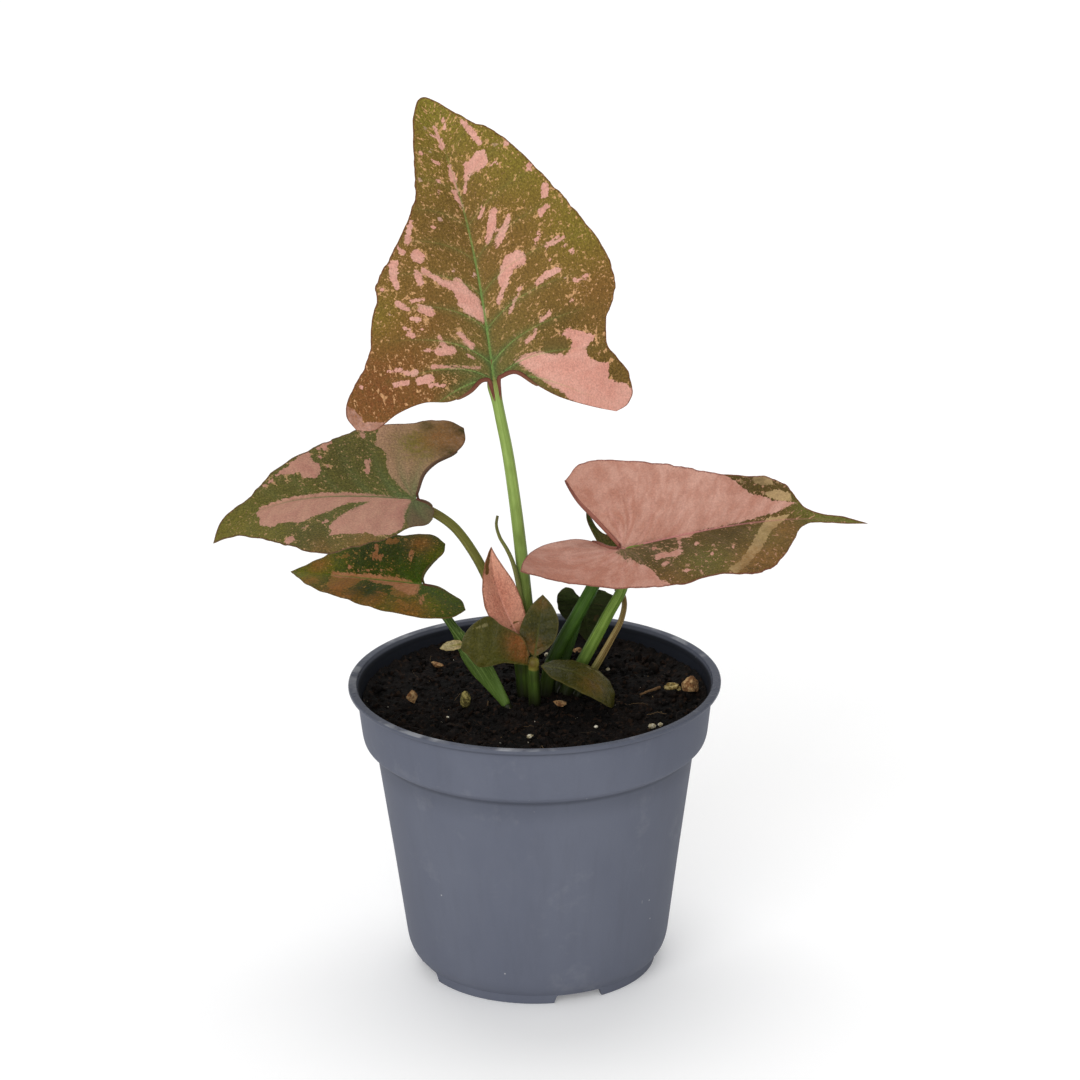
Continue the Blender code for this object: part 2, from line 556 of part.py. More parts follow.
def build_sheathed_stalk(stalk, blades, collection):
    """A stalk that widens to a flat sheath near its foot, wrapped from a grid."""
    line = stalk_line(stalk, blades)
    tangents = np.gradient(line, axis=0)
    tangents /= np.linalg.norm(tangents, axis=1)[:, None]
    depth = np.array(SHEATH_DEPTH)
    bm = bmesh.new()
    made = bmesh.ops.create_grid(bm, x_segments=stalk.points - 1, y_segments=SHEATH_SIDES,
                                 size=0.5)
    for vert in made["verts"]:
        i = int(round((vert.co.x + 0.5) * (stalk.points - 1)))
        angle = 2.0 * math.pi * (vert.co.y + 0.5)
        along = i / (stalk.points - 1)
        radius = stalk.top_radius + (stalk.foot_radius - stalk.top_radius) * along
        widen = np.interp(along, *zip(*SHEATH_WIDTHS))
        thin = depth - tangents[i] * (depth @ tangents[i])
        thin /= np.linalg.norm(thin)
        wide = np.cross(tangents[i], thin)
        place = line[i] + wide * (radius * widen * math.cos(angle)) \
            + thin * (radius * math.sin(angle))
        vert.co = Vector(place) * MM
    bmesh.ops.remove_doubles(bm, verts=bm.verts, dist=MERGE)
    bmesh.ops.holes_fill(bm, edges=bm.edges, sides=SHEATH_SIDES)
    return mesh_object(stalk.name, bm, collection, stalk.colour, STEM_ROUGHNESS)


def stub_line(stub, grow, feet):
    """Points down a stub. Its top faces its stalk's foot, and both ends grow by the clearance."""
    route = [np.array(place, dtype=float) for place in stub.route]
    if stub.stalk:
        foot, heading = feet[stub.stalk]
        route = [foot + heading * GAP, foot + heading * STUB_LEAD, *route]
    above = route[0] - route[1]
    below = route[-1] - route[-2]
    route[0] = route[0] + above / np.linalg.norm(above) * grow
    route[-1] = route[-1] + below / np.linalg.norm(below) * grow
    return smooth_line(route, STUB_POINTS)


def stub_solid(stub, number, grow, feet, cutters):
    """One stub as a closed mesh, grown all round by a clearance."""
    name = f"stub_{number}" if grow == 0.0 else f"socket_{number}"
    obj = tube(name, stub_line(stub, grow, feet), stub.top_radius + grow,
               stub.foot_radius + grow, cutters, STEM_GREEN)
    return as_cutter(to_mesh_object(obj, cutters))


def stalk_feet(blades):
    """Where each stalk ends, and which way it is heading there."""
    feet = {}
    for stalk in (*STALKS, DRY_STALK, SHEATHED_STALK):
        line = stalk_line(stalk, blades)
        heading = line[-1] - line[-2]
        feet[stalk.name] = (line[-1], heading / np.linalg.norm(heading))
    return feet


def build_crown(feet, collection, cutters):
    """The planted crown: the feet of all the stalks, grown together under the soil."""
    crown = stub_solid(STUBS[0], 0, 0.0, feet, cutters)
    cutters.objects.unlink(crown)
    collection.objects.link(crown)
    crown.name = "crown"
    crown.hide_render = False
    crown.display_type = "TEXTURED"
    for number, stub in enumerate(STUBS[1:], start=1):
        boolean(crown, stub_solid(stub, number, 0.0, feet, cutters), "UNION")
    bm = bmesh.new()
    bmesh.ops.create_uvsphere(bm, u_segments=BUD_SIDES[0], v_segments=BUD_SIDES[1],
                              radius=BUD_RADIUS * MM,
                              matrix=Matrix.Translation(Vector(BUD_CENTRE) * MM))
    boolean(crown, as_cutter(mesh_object("bud", bm, cutters)), "UNION")
    return crown


# ---------------------------------------------------------------- pot and soil

def turned(name, profile, collection, colour, roughness):
    """A solid turned about +Z from a profile that runs out, then down its outer side."""
    mesh = bpy.data.meshes.new(name)
    verts = [(radius * MM, 0.0, height * MM) for radius, height in profile]
    mesh.from_pydata(verts, [(i, i + 1) for i in range(len(verts) - 1)], [])
    mesh.materials.append(material(name, colour, roughness))
    obj = bpy.data.objects.new(name, mesh)
    collection.objects.link(obj)
    screw = obj.modifiers.new("turn", "SCREW")
    screw.steps = TURN_STEPS
    screw.render_steps = TURN_STEPS
    screw.use_merge_vertices = True
    screw.merge_threshold = MERGE
    return obj


def outer_wall():
    """The pot's outer wall under the lip, top to bottom."""
    return (*COLLAR, *SHOULDER, *BODY, *CORNER)


def inner_wall(inset):
    """The pot's inner wall set in by the wall's thickness and a clearance, top to bottom."""
    shift = WALL + inset
    wall = [(radius - shift, height - 0.25 * inset) for radius, height in outer_wall()[:-2]]
    floor = FLOOR_TOP + inset
    corner_radius = CORNER[-1][0] - shift
    return (*wall, *((corner_radius + out, floor + up) for out, up in FLOOR_CORNER))


def build_pot(collection, cutters):
    """The grower's pot: lip, collar, shoulder, tapering body and a notched foot with drains."""
    lip_inner = COLLAR[0][0] + LIP_INSET
    foot_inner = FOOT_RADIUS - FOOT_WIDTH
    profile = [(0.0, FLOOR_TOP)]
    profile += list(inner_wall(0.0))[::-1]
    profile += [(lip_inner - LIP_EASE[0], RIM_HEIGHT - LIP_EASE[1]), (lip_inner, RIM_HEIGHT),
                (LIP_RADIUS - LIP_BEAD, RIM_HEIGHT), (LIP_RADIUS, RIM_HEIGHT - LIP_BEAD),
                (LIP_RADIUS, RIM_HEIGHT - LIP_DROP)]
    profile += list(outer_wall())
    profile += [(FOOT_RADIUS + FOOT_DRAFT[0], FOOT_HEIGHT), (FOOT_RADIUS, 0.0),
                (foot_inner, 0.0), (foot_inner - FOOT_DRAFT[1], FLOOR_UNDERSIDE),
                (0.0, FLOOR_UNDERSIDE)]
    pot = turned("pot", profile, collection, POT_GREY, POT_ROUGHNESS)
    for number in range(NOTCH_COUNT):
        angle = NOTCH_TURN + number * 360.0 / NOTCH_COUNT
        out = turn(angle) @ Vector((0.0, -1.0, 0.0))
        boolean(pot, notch_cutter(number, angle, out, cutters), "DIFFERENCE")
        boolean(pot, drain_cutter(f"drain_{number}", out * DRAIN_CIRCLE, DRAIN_RADIUS, cutters),
                "DIFFERENCE")
    boolean(pot, drain_cutter("drain_centre", Vector(), CENTRE_DRAIN_RADIUS, cutters),
            "DIFFERENCE")
    return pot


def notch_cutter(number, angle, out, cutters):
    """A block across the foot ring."""
    bm = bmesh.new()
    bmesh.ops.create_cube(bm, size=1.0)
    size = Matrix.Diagonal((NOTCH_WIDTH * MM, NOTCH_REACH * MM, 2.0 * NOTCH_HEIGHT * MM, 1.0))
    place = Matrix.Translation(out * (FOOT_RADIUS - 0.5 * FOOT_WIDTH) * MM)
    bmesh.ops.transform(bm, matrix=place @ turn(angle) @ size, verts=bm.verts)
    return as_cutter(mesh_object(f"notch_{number}", bm, cutters))


def drain_cutter(name, centre, radius, cutters):
    """An upright cylinder through the pot's floor."""
    bm = bmesh.new()
    middle = (centre + Vector((0.0, 0.0, 0.5 * DRAIN_REACH))) * MM
    bmesh.ops.create_cone(bm, cap_ends=True, segments=DRAIN_SIDES, radius1=radius * MM,
                          radius2=radius * MM, depth=DRAIN_REACH * MM,
                          matrix=Matrix.Translation(middle))
    return as_cutter(mesh_object(name, bm, cutters))


def build_soil(feet, collection, cutters):
    """The soil: it fills the pot to just under the collar's top, with a socket for each stub."""
    wall = [point for point in inner_wall(GAP) if point[1] < SOIL_EDGE_HEIGHT]
    edge_radius = np.interp(SOIL_EDGE_HEIGHT, *zip(*[(h, r) for r, h in inner_wall(GAP)[::-1]]))
    profile = [*SOIL_TOP, (float(edge_radius), SOIL_EDGE_HEIGHT), *wall, (0.0, FLOOR_TOP + GAP)]
    soil = turned("soil", profile, collection, SOIL_BROWN, SOIL_ROUGHNESS)
    for number, stub in enumerate(STUBS):
        boolean(soil, stub_solid(stub, number, GAP, feet, cutters), "DIFFERENCE")
    return soil


def soil_height(x, y):
    """Height of the soil at a place across it, mm."""
    radii, heights = zip(*SOIL_TOP)
    return float(np.interp(math.hypot(x, y), radii, heights))


def build_grains(name, grains, collection, colour):
    """Loose lumps that rest on the soil, each a body of its own."""
    for number, (x, y, length, width, height, angle) in enumerate(grains, start=1):
        centre = Vector((x, y, soil_height(x, y) + GAP + 0.5 * height)) * MM
        size = Matrix.Diagonal((length * MM, width * MM, height * MM, 1.0))
        bm = bmesh.new()
        bmesh.ops.create_uvsphere(bm, u_segments=CHIP_SIDES, v_segments=CHIP_RINGS, radius=0.5,
                                  matrix=Matrix.Translation(centre) @ turn(angle) @ size)
        mesh_object(f"{name}_{number}", bm, collection, colour)


def centre_on_footprint(collection):
    """Shift the whole object so that the middle of its footprint stands on the origin."""
    bpy.context.view_layer.update()
    depsgraph = bpy.context.evaluated_depsgraph_get()
    corners = []
    for obj in collection.objects:
        if obj.type in {"MESH", "CURVE"}:
            shown = obj.evaluated_get(depsgraph)
            mesh = shown.to_mesh()
            corners += [vert.co.copy() for vert in mesh.vertices]
            shown.to_mesh_clear()
    low = [min(corner[k] for corner in corners) for k in (0, 1)]
    high = [max(corner[k] for corner in corners) for k in (0, 1)]
    holder = bpy.data.objects.new("footprint_centre", None)
    collection.objects.link(holder)
    holder.location = (-0.5 * (low[0] + high[0]), -0.5 * (low[1] + high[1]), 0.0)
    return holder


def main():
    """Build the plant, its soil and its pot."""
    clear_scene()
    parts = new_collection(NAME)
    cutters = new_collection("cutters")
    blades = {blade.name: blade for blade in LEAVES}
    feet = stalk_feet(blades)
    build_pot(parts, cutters)
    build_soil(feet, parts, cutters)
    build_crown(feet, parts, cutters)
    for blade in LEAVES:
        build_blade(blade, parts)
    for stalk in (*STALKS, DRY_STALK, SHEATH_TIP):
        build_stalk(stalk, blades, parts)
    build_sheathed_stalk(SHEATHED_STALK, blades, parts)
    build_grains("perlite_grain", PERLITE, parts, WHITE)
    build_grains("bark_chip", BARK_CHIPS, parts, BARK)
    build_grains("seed_husk", SEED_HUSKS, parts, STRAW)
    tube("twig", smooth_line(TWIG, TWIG_POINTS), *TWIG_RADII, parts, STRAW)
    holder = centre_on_footprint(parts)
    for obj in (*parts.objects, *cutters.objects):
        if obj is not holder:
            obj.parent = holder
    bpy.context.view_layer.update()


main()
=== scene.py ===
"""Looks of a young arrowhead plant in a plastic grower's pot.

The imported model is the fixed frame. Every leaf, stalk and grain is remade here as a fine mesh in
the place of its plain solid, and dressed with a procedural finish. Lengths in the tables are
millimetres from the pot's axis, angles are degrees, and colours are 8-bit screen values.
"""

import logging
import math
from dataclasses import dataclass, field, fields
from enum import Enum
from typing import Iterable, Sequence, Union

import bmesh
import bpy
import numpy as np
from mathutils import Matrix, Vector, noise


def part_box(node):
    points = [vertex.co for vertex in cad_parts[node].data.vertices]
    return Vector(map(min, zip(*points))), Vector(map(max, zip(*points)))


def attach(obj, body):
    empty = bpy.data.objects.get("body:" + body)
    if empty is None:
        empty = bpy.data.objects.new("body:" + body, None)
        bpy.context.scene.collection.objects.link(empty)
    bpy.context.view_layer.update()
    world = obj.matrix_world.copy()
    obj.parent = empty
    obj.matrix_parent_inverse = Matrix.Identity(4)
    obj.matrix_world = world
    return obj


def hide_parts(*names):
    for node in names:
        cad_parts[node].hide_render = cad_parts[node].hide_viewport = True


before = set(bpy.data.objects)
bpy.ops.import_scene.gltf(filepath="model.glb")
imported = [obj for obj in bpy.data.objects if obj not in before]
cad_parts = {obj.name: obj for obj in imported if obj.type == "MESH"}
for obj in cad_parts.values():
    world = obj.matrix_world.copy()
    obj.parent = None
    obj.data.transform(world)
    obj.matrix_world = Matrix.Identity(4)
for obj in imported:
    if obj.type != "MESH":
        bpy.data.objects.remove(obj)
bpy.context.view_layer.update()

LOG = logging.getLogger("arrowhead_plant")
MM = 0.001
ROOT = "root"
TAU = 2.0 * math.pi
TINY = 1e-9                 # keeps a division off zero
POT_LOW, POT_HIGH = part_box("pot")
AXIS = np.array([0.5 * (POT_LOW[0] + POT_HIGH[0]), 0.5 * (POT_LOW[1] + POT_HIGH[1]), 0.0])

Colour = tuple[float, float, float]
Flat = tuple[float, float]
Stroke = tuple[float, float, float, float, float, float]
Wash = tuple[float, float, float, float]


def screen(red: float, green: float, blue: float) -> Colour:
    """A linear colour from 8-bit screen values."""
    parts = [value / 255.0 for value in (red, green, blue)]
    return tuple(p / 12.92 if p <= 0.04045 else ((p + 0.055) / 1.055) ** 2.4 for p in parts)


@dataclass(frozen=True)
class Finish:
    """A finish, whose colours are given as 8-bit screen values and kept as linear ones."""

    def __post_init__(self) -> None:
        """Turn each colour into the linear one that the shader takes."""
        for item in fields(self):
            if item.type == Colour:
                object.__setattr__(self, item.name, screen(*getattr(self, item.name)))


# ------------------------------------------------------------------------------ shader maths

class Sock:
    """A shader socket that can stand in a Python expression."""

    def __init__(self, graph: "Graph", socket: bpy.types.NodeSocket) -> None:
        """Wrap an output socket of a material's graph."""
        self.graph = graph
        self.socket = socket

    def maths(self, operation: str, *others: "Value", first: bool = True) -> "Sock":
        """Add a Math node.

        Args:
            operation: the Math node's operation.
            others: the node's other inputs.
            first: whether this socket is the node's first input or its second.

        Returns:
            The node's result.
        """
        values = (self, *others) if first else (*others, self)
        made = self.graph.node("Math", {"operation": operation}, dict(enumerate(values)))
        return Sock(self.graph, made.outputs[0])

    def __add__(self, other: "Value") -> "Sock":
        """This value plus another."""
        return self.maths("ADD", other)

    def __radd__(self, other: "Value") -> "Sock":
        """Another value plus this one."""
        return self.maths("ADD", other)

    def __sub__(self, other: "Value") -> "Sock":
        """This value minus another."""
        return self.maths("SUBTRACT", other)

    def __rsub__(self, other: "Value") -> "Sock":
        """Another value minus this one."""
        return self.maths("SUBTRACT", other, first=False)

    def __mul__(self, other: "Value") -> "Sock":
        """This value times another."""
        return self.maths("MULTIPLY", other)

    def __rmul__(self, other: "Value") -> "Sock":
        """Another value times this one."""
        return self.maths("MULTIPLY", other)

    def __truediv__(self, other: "Value") -> "Sock":
        """This value over another."""
        return self.maths("DIVIDE", other)

    def __pow__(self, other: "Value") -> "Sock":
        """This value to a power."""
        return self.maths("POWER", other)

    def clip(self) -> "Sock":
        """This value held between 0 and 1."""
        return self.maths("MAXIMUM", 0.0).maths("MINIMUM", 1.0)

    def step(self, low: float, high: float) -> "Sock":
        """An eased step.

        Args:
            low: where the step is 0.
            high: where it is 1; the step runs down where low is the larger.

        Returns:
            The step, from 0 to 1.
        """
        rising = low < high
        ends = {"Value": self, "From Min": min(low, high), "From Max": max(low, high),
                "To Min": 0.0 if rising else 1.0, "To Max": 1.0 if rising else 0.0}
        made = self.graph.node("MapRange", {"interpolation_type": "SMOOTHSTEP"}, ends)
        return Sock(self.graph, made.outputs[0])


Value = Union[Sock, float, int, Sequence[float]]


class Graph:
    """The node tree of one material, with its surface shader."""

    def __init__(self, name: str, **constants: float) -> None:
        """Start a material.

        Args:
            name: the material's name.
            constants: values of the surface shader's own sockets, _ standing for a space.
        """
        self.material = bpy.data.materials.new(name)
        self.material.use_nodes = True
        self.tree = self.material.node_tree
        self.shader = self.tree.nodes["Principled BSDF"]
        for key, value in constants.items():
            self.shader.inputs[key.replace("_", " ")].default_value = value

    def feed(self, socket: bpy.types.NodeSocket, value: Value) -> None:
        """Link a socket to another, or set its value.

        Args:
            socket: the input socket.
            value: a wrapped output socket, a number, a colour or a vector.
        """
        if isinstance(value, Sock):
            self.tree.links.new(value.socket, socket)
        elif isinstance(value, (int, float)):
            socket.default_value = value
        else:
            extra = (1.0,) if socket.type == "RGBA" and len(value) == 3 else ()
            socket.default_value = (*value, *extra)

    def node(self, kind: str, settings: dict, inputs: dict) -> bpy.types.Node:
        """Add a node.

        Args:
            kind: the node's type without its ShaderNode prefix.
            settings: its properties, which are set first.
            inputs: values or links of its sockets, by name or number.

        Returns:
            The node.
        """
        made = self.tree.nodes.new("ShaderNode" + kind)
        for key, value in settings.items():
            setattr(made, key, value)
        for key, value in inputs.items():
            self.feed(made.inputs[key], value)
        return made

    def value(self, name: str) -> Sock:
        """A number stored on the mesh."""
        made = self.node("Attribute", {"attribute_name": name}, {})
        return Sock(self, made.outputs["Fac"])

    def vector(self, name: str) -> Sock:
        """A vector stored on the mesh."""
        made = self.node("Attribute", {"attribute_name": name}, {})
        return Sock(self, made.outputs["Vector"])

    def parts(self, vector: Sock) -> tuple[Sock, Sock, Sock]:
        """The three parts of a vector."""
        made = self.node("SeparateXYZ", {}, {0: vector})
        return tuple(Sock(self, out) for out in made.outputs)

    def place(self) -> Sock:
        """A point's place on the object, in metres."""
        return Sock(self, self.node("TexCoord", {}, {}).outputs["Object"])

    def stretch(self, vector: Sock, amounts: Sequence[float]) -> Sock:
        """A vector with each of its parts multiplied."""
        made = self.node("VectorMath", {"operation": "MULTIPLY"}, {0: vector, 1: amounts})
        return Sock(self, made.outputs[0])

    def noise(self, vector: Sock, scale: float, detail: float = 2.0, rough: float = 0.5) -> Sock:
        """Soft noise about 0.5.

        Args:
            vector: where it is read.
            scale: its features are 1 / scale across.
            detail: how many finer layers it has.
            rough: how strong the finer layers are.

        Returns:
            The noise.
        """
        made = self.node("TexNoise", {}, {"Vector": vector, "Scale": scale, "Detail": detail,
                                          "Roughness": rough})
        return Sock(self, made.outputs[0])

    def cells(self, vector: Sock, scale: float) -> tuple[Sock, Sock]:
        """Cells 1 / scale across.

        Args:
            vector: where they are read.
            scale: how many there are in a unit.

        Returns:
            The distance from each cell's middle, and a random number for each.
        """
        made = self.node("TexVoronoi", {}, {"Vector": vector, "Scale": scale})
        pick = self.node("SeparateColor", {}, {0: Sock(self, made.outputs["Color"])})
        return Sock(self, made.outputs["Distance"]), Sock(self, pick.outputs[0])

    def net(self, vector: Sock, scale: float) -> Sock:
        """How far a point lies from the net of lines between cells 1 / scale across.

        Args:
            vector: the point.
            scale: how many cells go to one unit of it.

        Returns:
            The distance, from 0 on the net.
        """
        made = self.node("TexVoronoi", {"feature": "DISTANCE_TO_EDGE"},
                         {"Vector": vector, "Scale": scale})
        return Sock(self, made.outputs["Distance"])

    def mix(self, amount: Value, under: Value, over: Value) -> Sock:
        """One colour laid over another by an amount from 0 to 1."""
        made = self.node("Mix", {"data_type": "RGBA"}, {0: amount, 6: under, 7: over})
        return Sock(self, made.outputs[2])

    def shade(self, colour: Value, amount: Value) -> Sock:
        """A colour multiplied by a number."""
        made = self.node("VectorMath", {"operation": "SCALE"}, {0: colour, 3: amount})
        return Sock(self, made.outputs[0])

    def bump(self, height: Sock, distance: float) -> Sock:
        """A normal raised by a height from 0 to 1, distance metres high."""
        made = self.node("Bump", {}, {"Height": height, "Distance": distance})
        return Sock(self, made.outputs[0])

    def finish(self, colour: Value, roughness: Value, normal: Sock) -> bpy.types.Material:
        """Feed the surface shader.

        Args:
            colour: its base colour.
            roughness: its roughness.
            normal: its normal.

        Returns:
            The material.
        """
        self.feed(self.shader.inputs["Base Color"], colour)
        self.feed(self.shader.inputs["Roughness"], roughness)
        self.feed(self.shader.inputs["Normal"], normal)
        return self.material


# ------------------------------------------------------------------------------ meshes

def eased(t: np.ndarray) -> np.ndarray:
    """An eased step from 0 to 1."""
    t = np.clip(t, 0.0, 1.0)
    return t * t * (3.0 - 2.0 * t)


def travelled(line: np.ndarray) -> np.ndarray:
    """How far along a line each of its points lies."""
    steps = np.linalg.norm(np.diff(line, axis=0), axis=1)
    return np.concatenate([[0.0], np.cumsum(steps)])


def smooth_line(points: Sequence[Sequence[float]], count: int) -> np.ndarray:
    """Evenly spaced points on a smooth curve through the given ones.

    Args:
        points: the curve's own points.
        count: how many points to return.

    Returns:
        An array of count points.
    """
    knots = np.array(points, dtype=float)
    ends = np.vstack([2 * knots[0] - knots[1], knots, 2 * knots[-1] - knots[-2]])
    steps = np.linalg.norm(np.diff(ends, axis=0), axis=1)
    times = np.concatenate([[0.0], np.cumsum(np.sqrt(steps))])
    fine = []
    for i in range(1, len(ends) - 2):
        p0, p1, p2, p3 = ends[i - 1:i + 3]
        t0, t1, t2, t3 = times[i - 1:i + 3]
        t = np.linspace(t1, t2, LINE_SAMPLES, endpoint=False)[:, None]
        a1 = (p0 * (t1 - t) + p1 * (t - t0)) / (t1 - t0)
        a2 = (p1 * (t2 - t) + p2 * (t - t1)) / (t2 - t1)
        a3 = (p2 * (t3 - t) + p3 * (t - t2)) / (t3 - t2)
        b1 = (a1 * (t2 - t) + a2 * (t - t0)) / (t2 - t0)
        b2 = (a2 * (t3 - t) + a3 * (t - t1)) / (t3 - t1)
        fine.append((b1 * (t2 - t) + b2 * (t - t1)) / (t2 - t1))
    fine = np.vstack([*fine, knots[-1:]])
    along = travelled(fine)
    wanted = np.linspace(0.0, along[-1], count)
    return np.stack([np.interp(wanted, along, fine[:, k]) for k in range(fine.shape[1])], axis=1)


def unit(vectors: np.ndarray) -> np.ndarray:
    """Vectors of length 1."""
    return vectors / np.maximum(np.linalg.norm(vectors, axis=-1, keepdims=True), 1e-12)


def roll(seed: int) -> np.random.Generator:
    """A seeded source of random numbers."""
    return np.random.default_rng(seed)


def lumps(places: np.ndarray, scale: float, octaves: int = 3, seed: float = 0.0) -> np.ndarray:
    """Soft noise at places in space.

    Args:
        places: the places, in mm.
        scale: how far across its features are, in mm.
        octaves: how many finer layers it has.
        seed: which noise this is.

    Returns:
        A number from about -1 to 1 for each place.
    """
    shift = Vector((seed, 2.3 * seed, -1.7 * seed))
    return np.array([noise.fractal(Vector(p) / scale + shift, 1.0, 2.0, octaves)
                     for p in places.tolist()])


@dataclass
class Shape:
    """A mesh being gathered: places in mm from the pot's axis, faces and stored values."""

    places: list = field(default_factory=list)
    faces: list = field(default_factory=list)
    values: dict = field(default_factory=dict)
    count: int = 0

    def add(self, places: np.ndarray, faces: Iterable, **values: np.ndarray) -> None:
        """Add a patch of mesh.

        Args:
            places: its vertices.
            faces: the faces between them, counted from its first vertex.
            values: a number or a vector for each vertex, by name.
        """
        self.faces += [tuple(i + self.count for i in face) for face in faces]
        self.places.append(places)
        self.count += len(places)
        for key, table in values.items():
            self.values.setdefault(key, []).append(np.asarray(table, dtype=float))

    def build(self, name: str, material: bpy.types.Material,
              sharp: float = 50.0) -> bpy.types.Object:
        """Make the object.

        Args:
            name: the object's name.
            material: its finish.
            sharp: edges that turn by more than this many degrees stay sharp.

        Returns:
            The object, in the scene.
        """
        places = (np.vstack(self.places) + AXIS / MM) * MM
        mesh = bpy.data.meshes.new(name)
        mesh.from_pydata(places.tolist(), [], self.faces)
        for key, tables in self.values.items():
            table = np.concatenate(tables)
            kind, slot = ("FLOAT", "value") if table.ndim == 1 else ("FLOAT_VECTOR", "vector")
            mesh.attributes.new(key, kind, "POINT").data.foreach_set(slot, table.ravel())
        mesh.validate()
        mesh.materials.append(material)
        mesh.shade_smooth()
        mesh.set_sharp_from_angle(angle=math.radians(sharp))
        obj = bpy.data.objects.new(name, mesh)
        bpy.context.scene.collection.objects.link(obj)
        return obj


LINE_SAMPLES = 16           # fine points between two points of a route


def tube(shape: Shape, line: np.ndarray, radii: np.ndarray, sides: int, ridge: float = 0.0,
         ribs: int = 0, widths: Union[np.ndarray, float] = 1.0, depth: Sequence[float] = (),
         bow: float = 0.0) -> None:
    """Add a closed tube along a line.

    Args:
        shape: the mesh to add to.
        line: the tube's centre line.
        radii: its radius at each point.
        sides: how many faces go round it.
        ridge: how deep the grooves between its ribs are, as a share of the radius.
        ribs: how many ribs run along it.
        widths: how many times wider it is than deep at each point.
        depth: the way that a flat tube is thin; without it the section doesn't twist.
        bow: how far its wide part is hollowed, as a share of the radius.
    """
    count = len(line)
    tangents = unit(np.gradient(line, axis=0))
    across = np.zeros_like(line)
    across[0] = unit(np.cross(tangents[0], DEPTH))
    for i in range(1, count):
        across[i] = unit(across[i - 1] - tangents[i] * (across[i - 1] @ tangents[i]))
    if len(depth):
        across = unit(np.cross(tangents, unit(np.array(depth) - tangents
                                              * (tangents @ np.array(depth))[:, None])))
    deep = np.cross(tangents, across)
    angle = np.arange(sides) * TAU / sides
    swell = 1.0 + ridge * np.cos(ribs * angle)
    widths = np.broadcast_to(widths, count)
    wide = np.cos(angle)[None, :] * swell * widths[:, None]
    thick = np.sin(angle)[None, :] * swell + (bow * (widths - 1.0))[:, None] * np.cos(angle) ** 2
    rings = line[:, None] + (across[:, None] * wide[..., None]
                             + deep[:, None] * thick[..., None]) * radii[:, None, None]
    places = np.vstack([rings.reshape(-1, 3), line[:1], line[-1:]])
    faces = [(i * sides + j, i * sides + (j + 1) % sides, (i + 1) * sides + (j + 1) % sides,
              (i + 1) * sides + j) for i in range(count - 1) for j in range(sides)]
    top, foot = count * sides, count * sides + 1
    last = (count - 1) * sides
    faces += [(top, (j + 1) % sides, j) for j in range(sides)]
    faces += [(foot, last + j, last + (j + 1) % sides) for j in range(sides)]
    length = travelled(line)
    run = np.concatenate([np.repeat(length, sides), [0.0, length[-1]]])
    turn = np.concatenate([np.tile(angle, count), [0.0, 0.0]])
    spread = np.concatenate([np.repeat(widths, sides), [1.0, 1.0]])
    coil = np.stack([np.cos(turn) * spread, np.sin(turn), run / 10.0], axis=1)
    shape.add(places, faces, coil=coil, share=run / length[-1])


DEPTH = np.array([0.05, 1.0, 0.1])      # the way that a tube's section starts from


# ------------------------------------------------------------------------------ leaves

@dataclass(frozen=True)
class Marks:
    """Where one pigment lies on a blade, in its flat millimetres.

    A stroke runs from (x0, y0) to (x1, y1) and its half-width from r0 to r1. A field is a
    closed outline.
    """

    strokes: tuple[Stroke, ...] = ()
    fields: tuple[tuple[Flat, ...], ...] = ()

    def depth(self, flat: np.ndarray) -> np.ndarray:
        """How far inside the marks points lie.

        Args:
            flat: points of the flat blade.

        Returns:
            A distance in mm for each, negative outside.
        """
        best = np.full(len(flat), -DEPTH_LIMIT)
        for x0, y0, x1, y1, r0, r1 in self.strokes:
            start, run = np.array([x0, y0]), np.array([x1 - x0, y1 - y0])
            t = np.clip((flat - start) @ run / max(run @ run, TINY), 0.0, 1.0)
            away = np.linalg.norm(flat - start - t[:, None] * run, axis=1)
            best = np.maximum(best, r0 + (r1 - r0) * t - away)
        for outline in self.fields:
            best = np.maximum(best, field_depth(flat, outline))
        return np.clip(best, -DEPTH_LIMIT, DEPTH_LIMIT)


def field_depth(flat: np.ndarray, outline: Sequence[Flat]) -> np.ndarray:
    """How far inside a closed outline points lie.

    Args:
        flat: points of the flat blade.
        outline: the outline's corners.

    Returns:
        A distance in mm for each, negative outside.
    """
    corners = np.array(outline, dtype=float)
    away = np.full(len(flat), np.inf)
    inside = np.zeros(len(flat), dtype=bool)
    for a, b in zip(corners, np.roll(corners, -1, axis=0)):
        run = b - a
        t = np.clip((flat - a) @ run / (run @ run), 0.0, 1.0)
        away = np.minimum(away, np.linalg.norm(flat - a - t[:, None] * run, axis=1))
        spans = (a[1] > flat[:, 1]) != (b[1] > flat[:, 1])
        rise = run[1] if abs(run[1]) > TINY else TINY
        inside ^= spans & (flat[:, 0] < a[0] + (flat[:, 1] - a[1]) * run[0] / rise)
    return np.where(inside, away, -away)


DEPTH_LIMIT = 4.0           # distances to a mark are kept up to this many mm


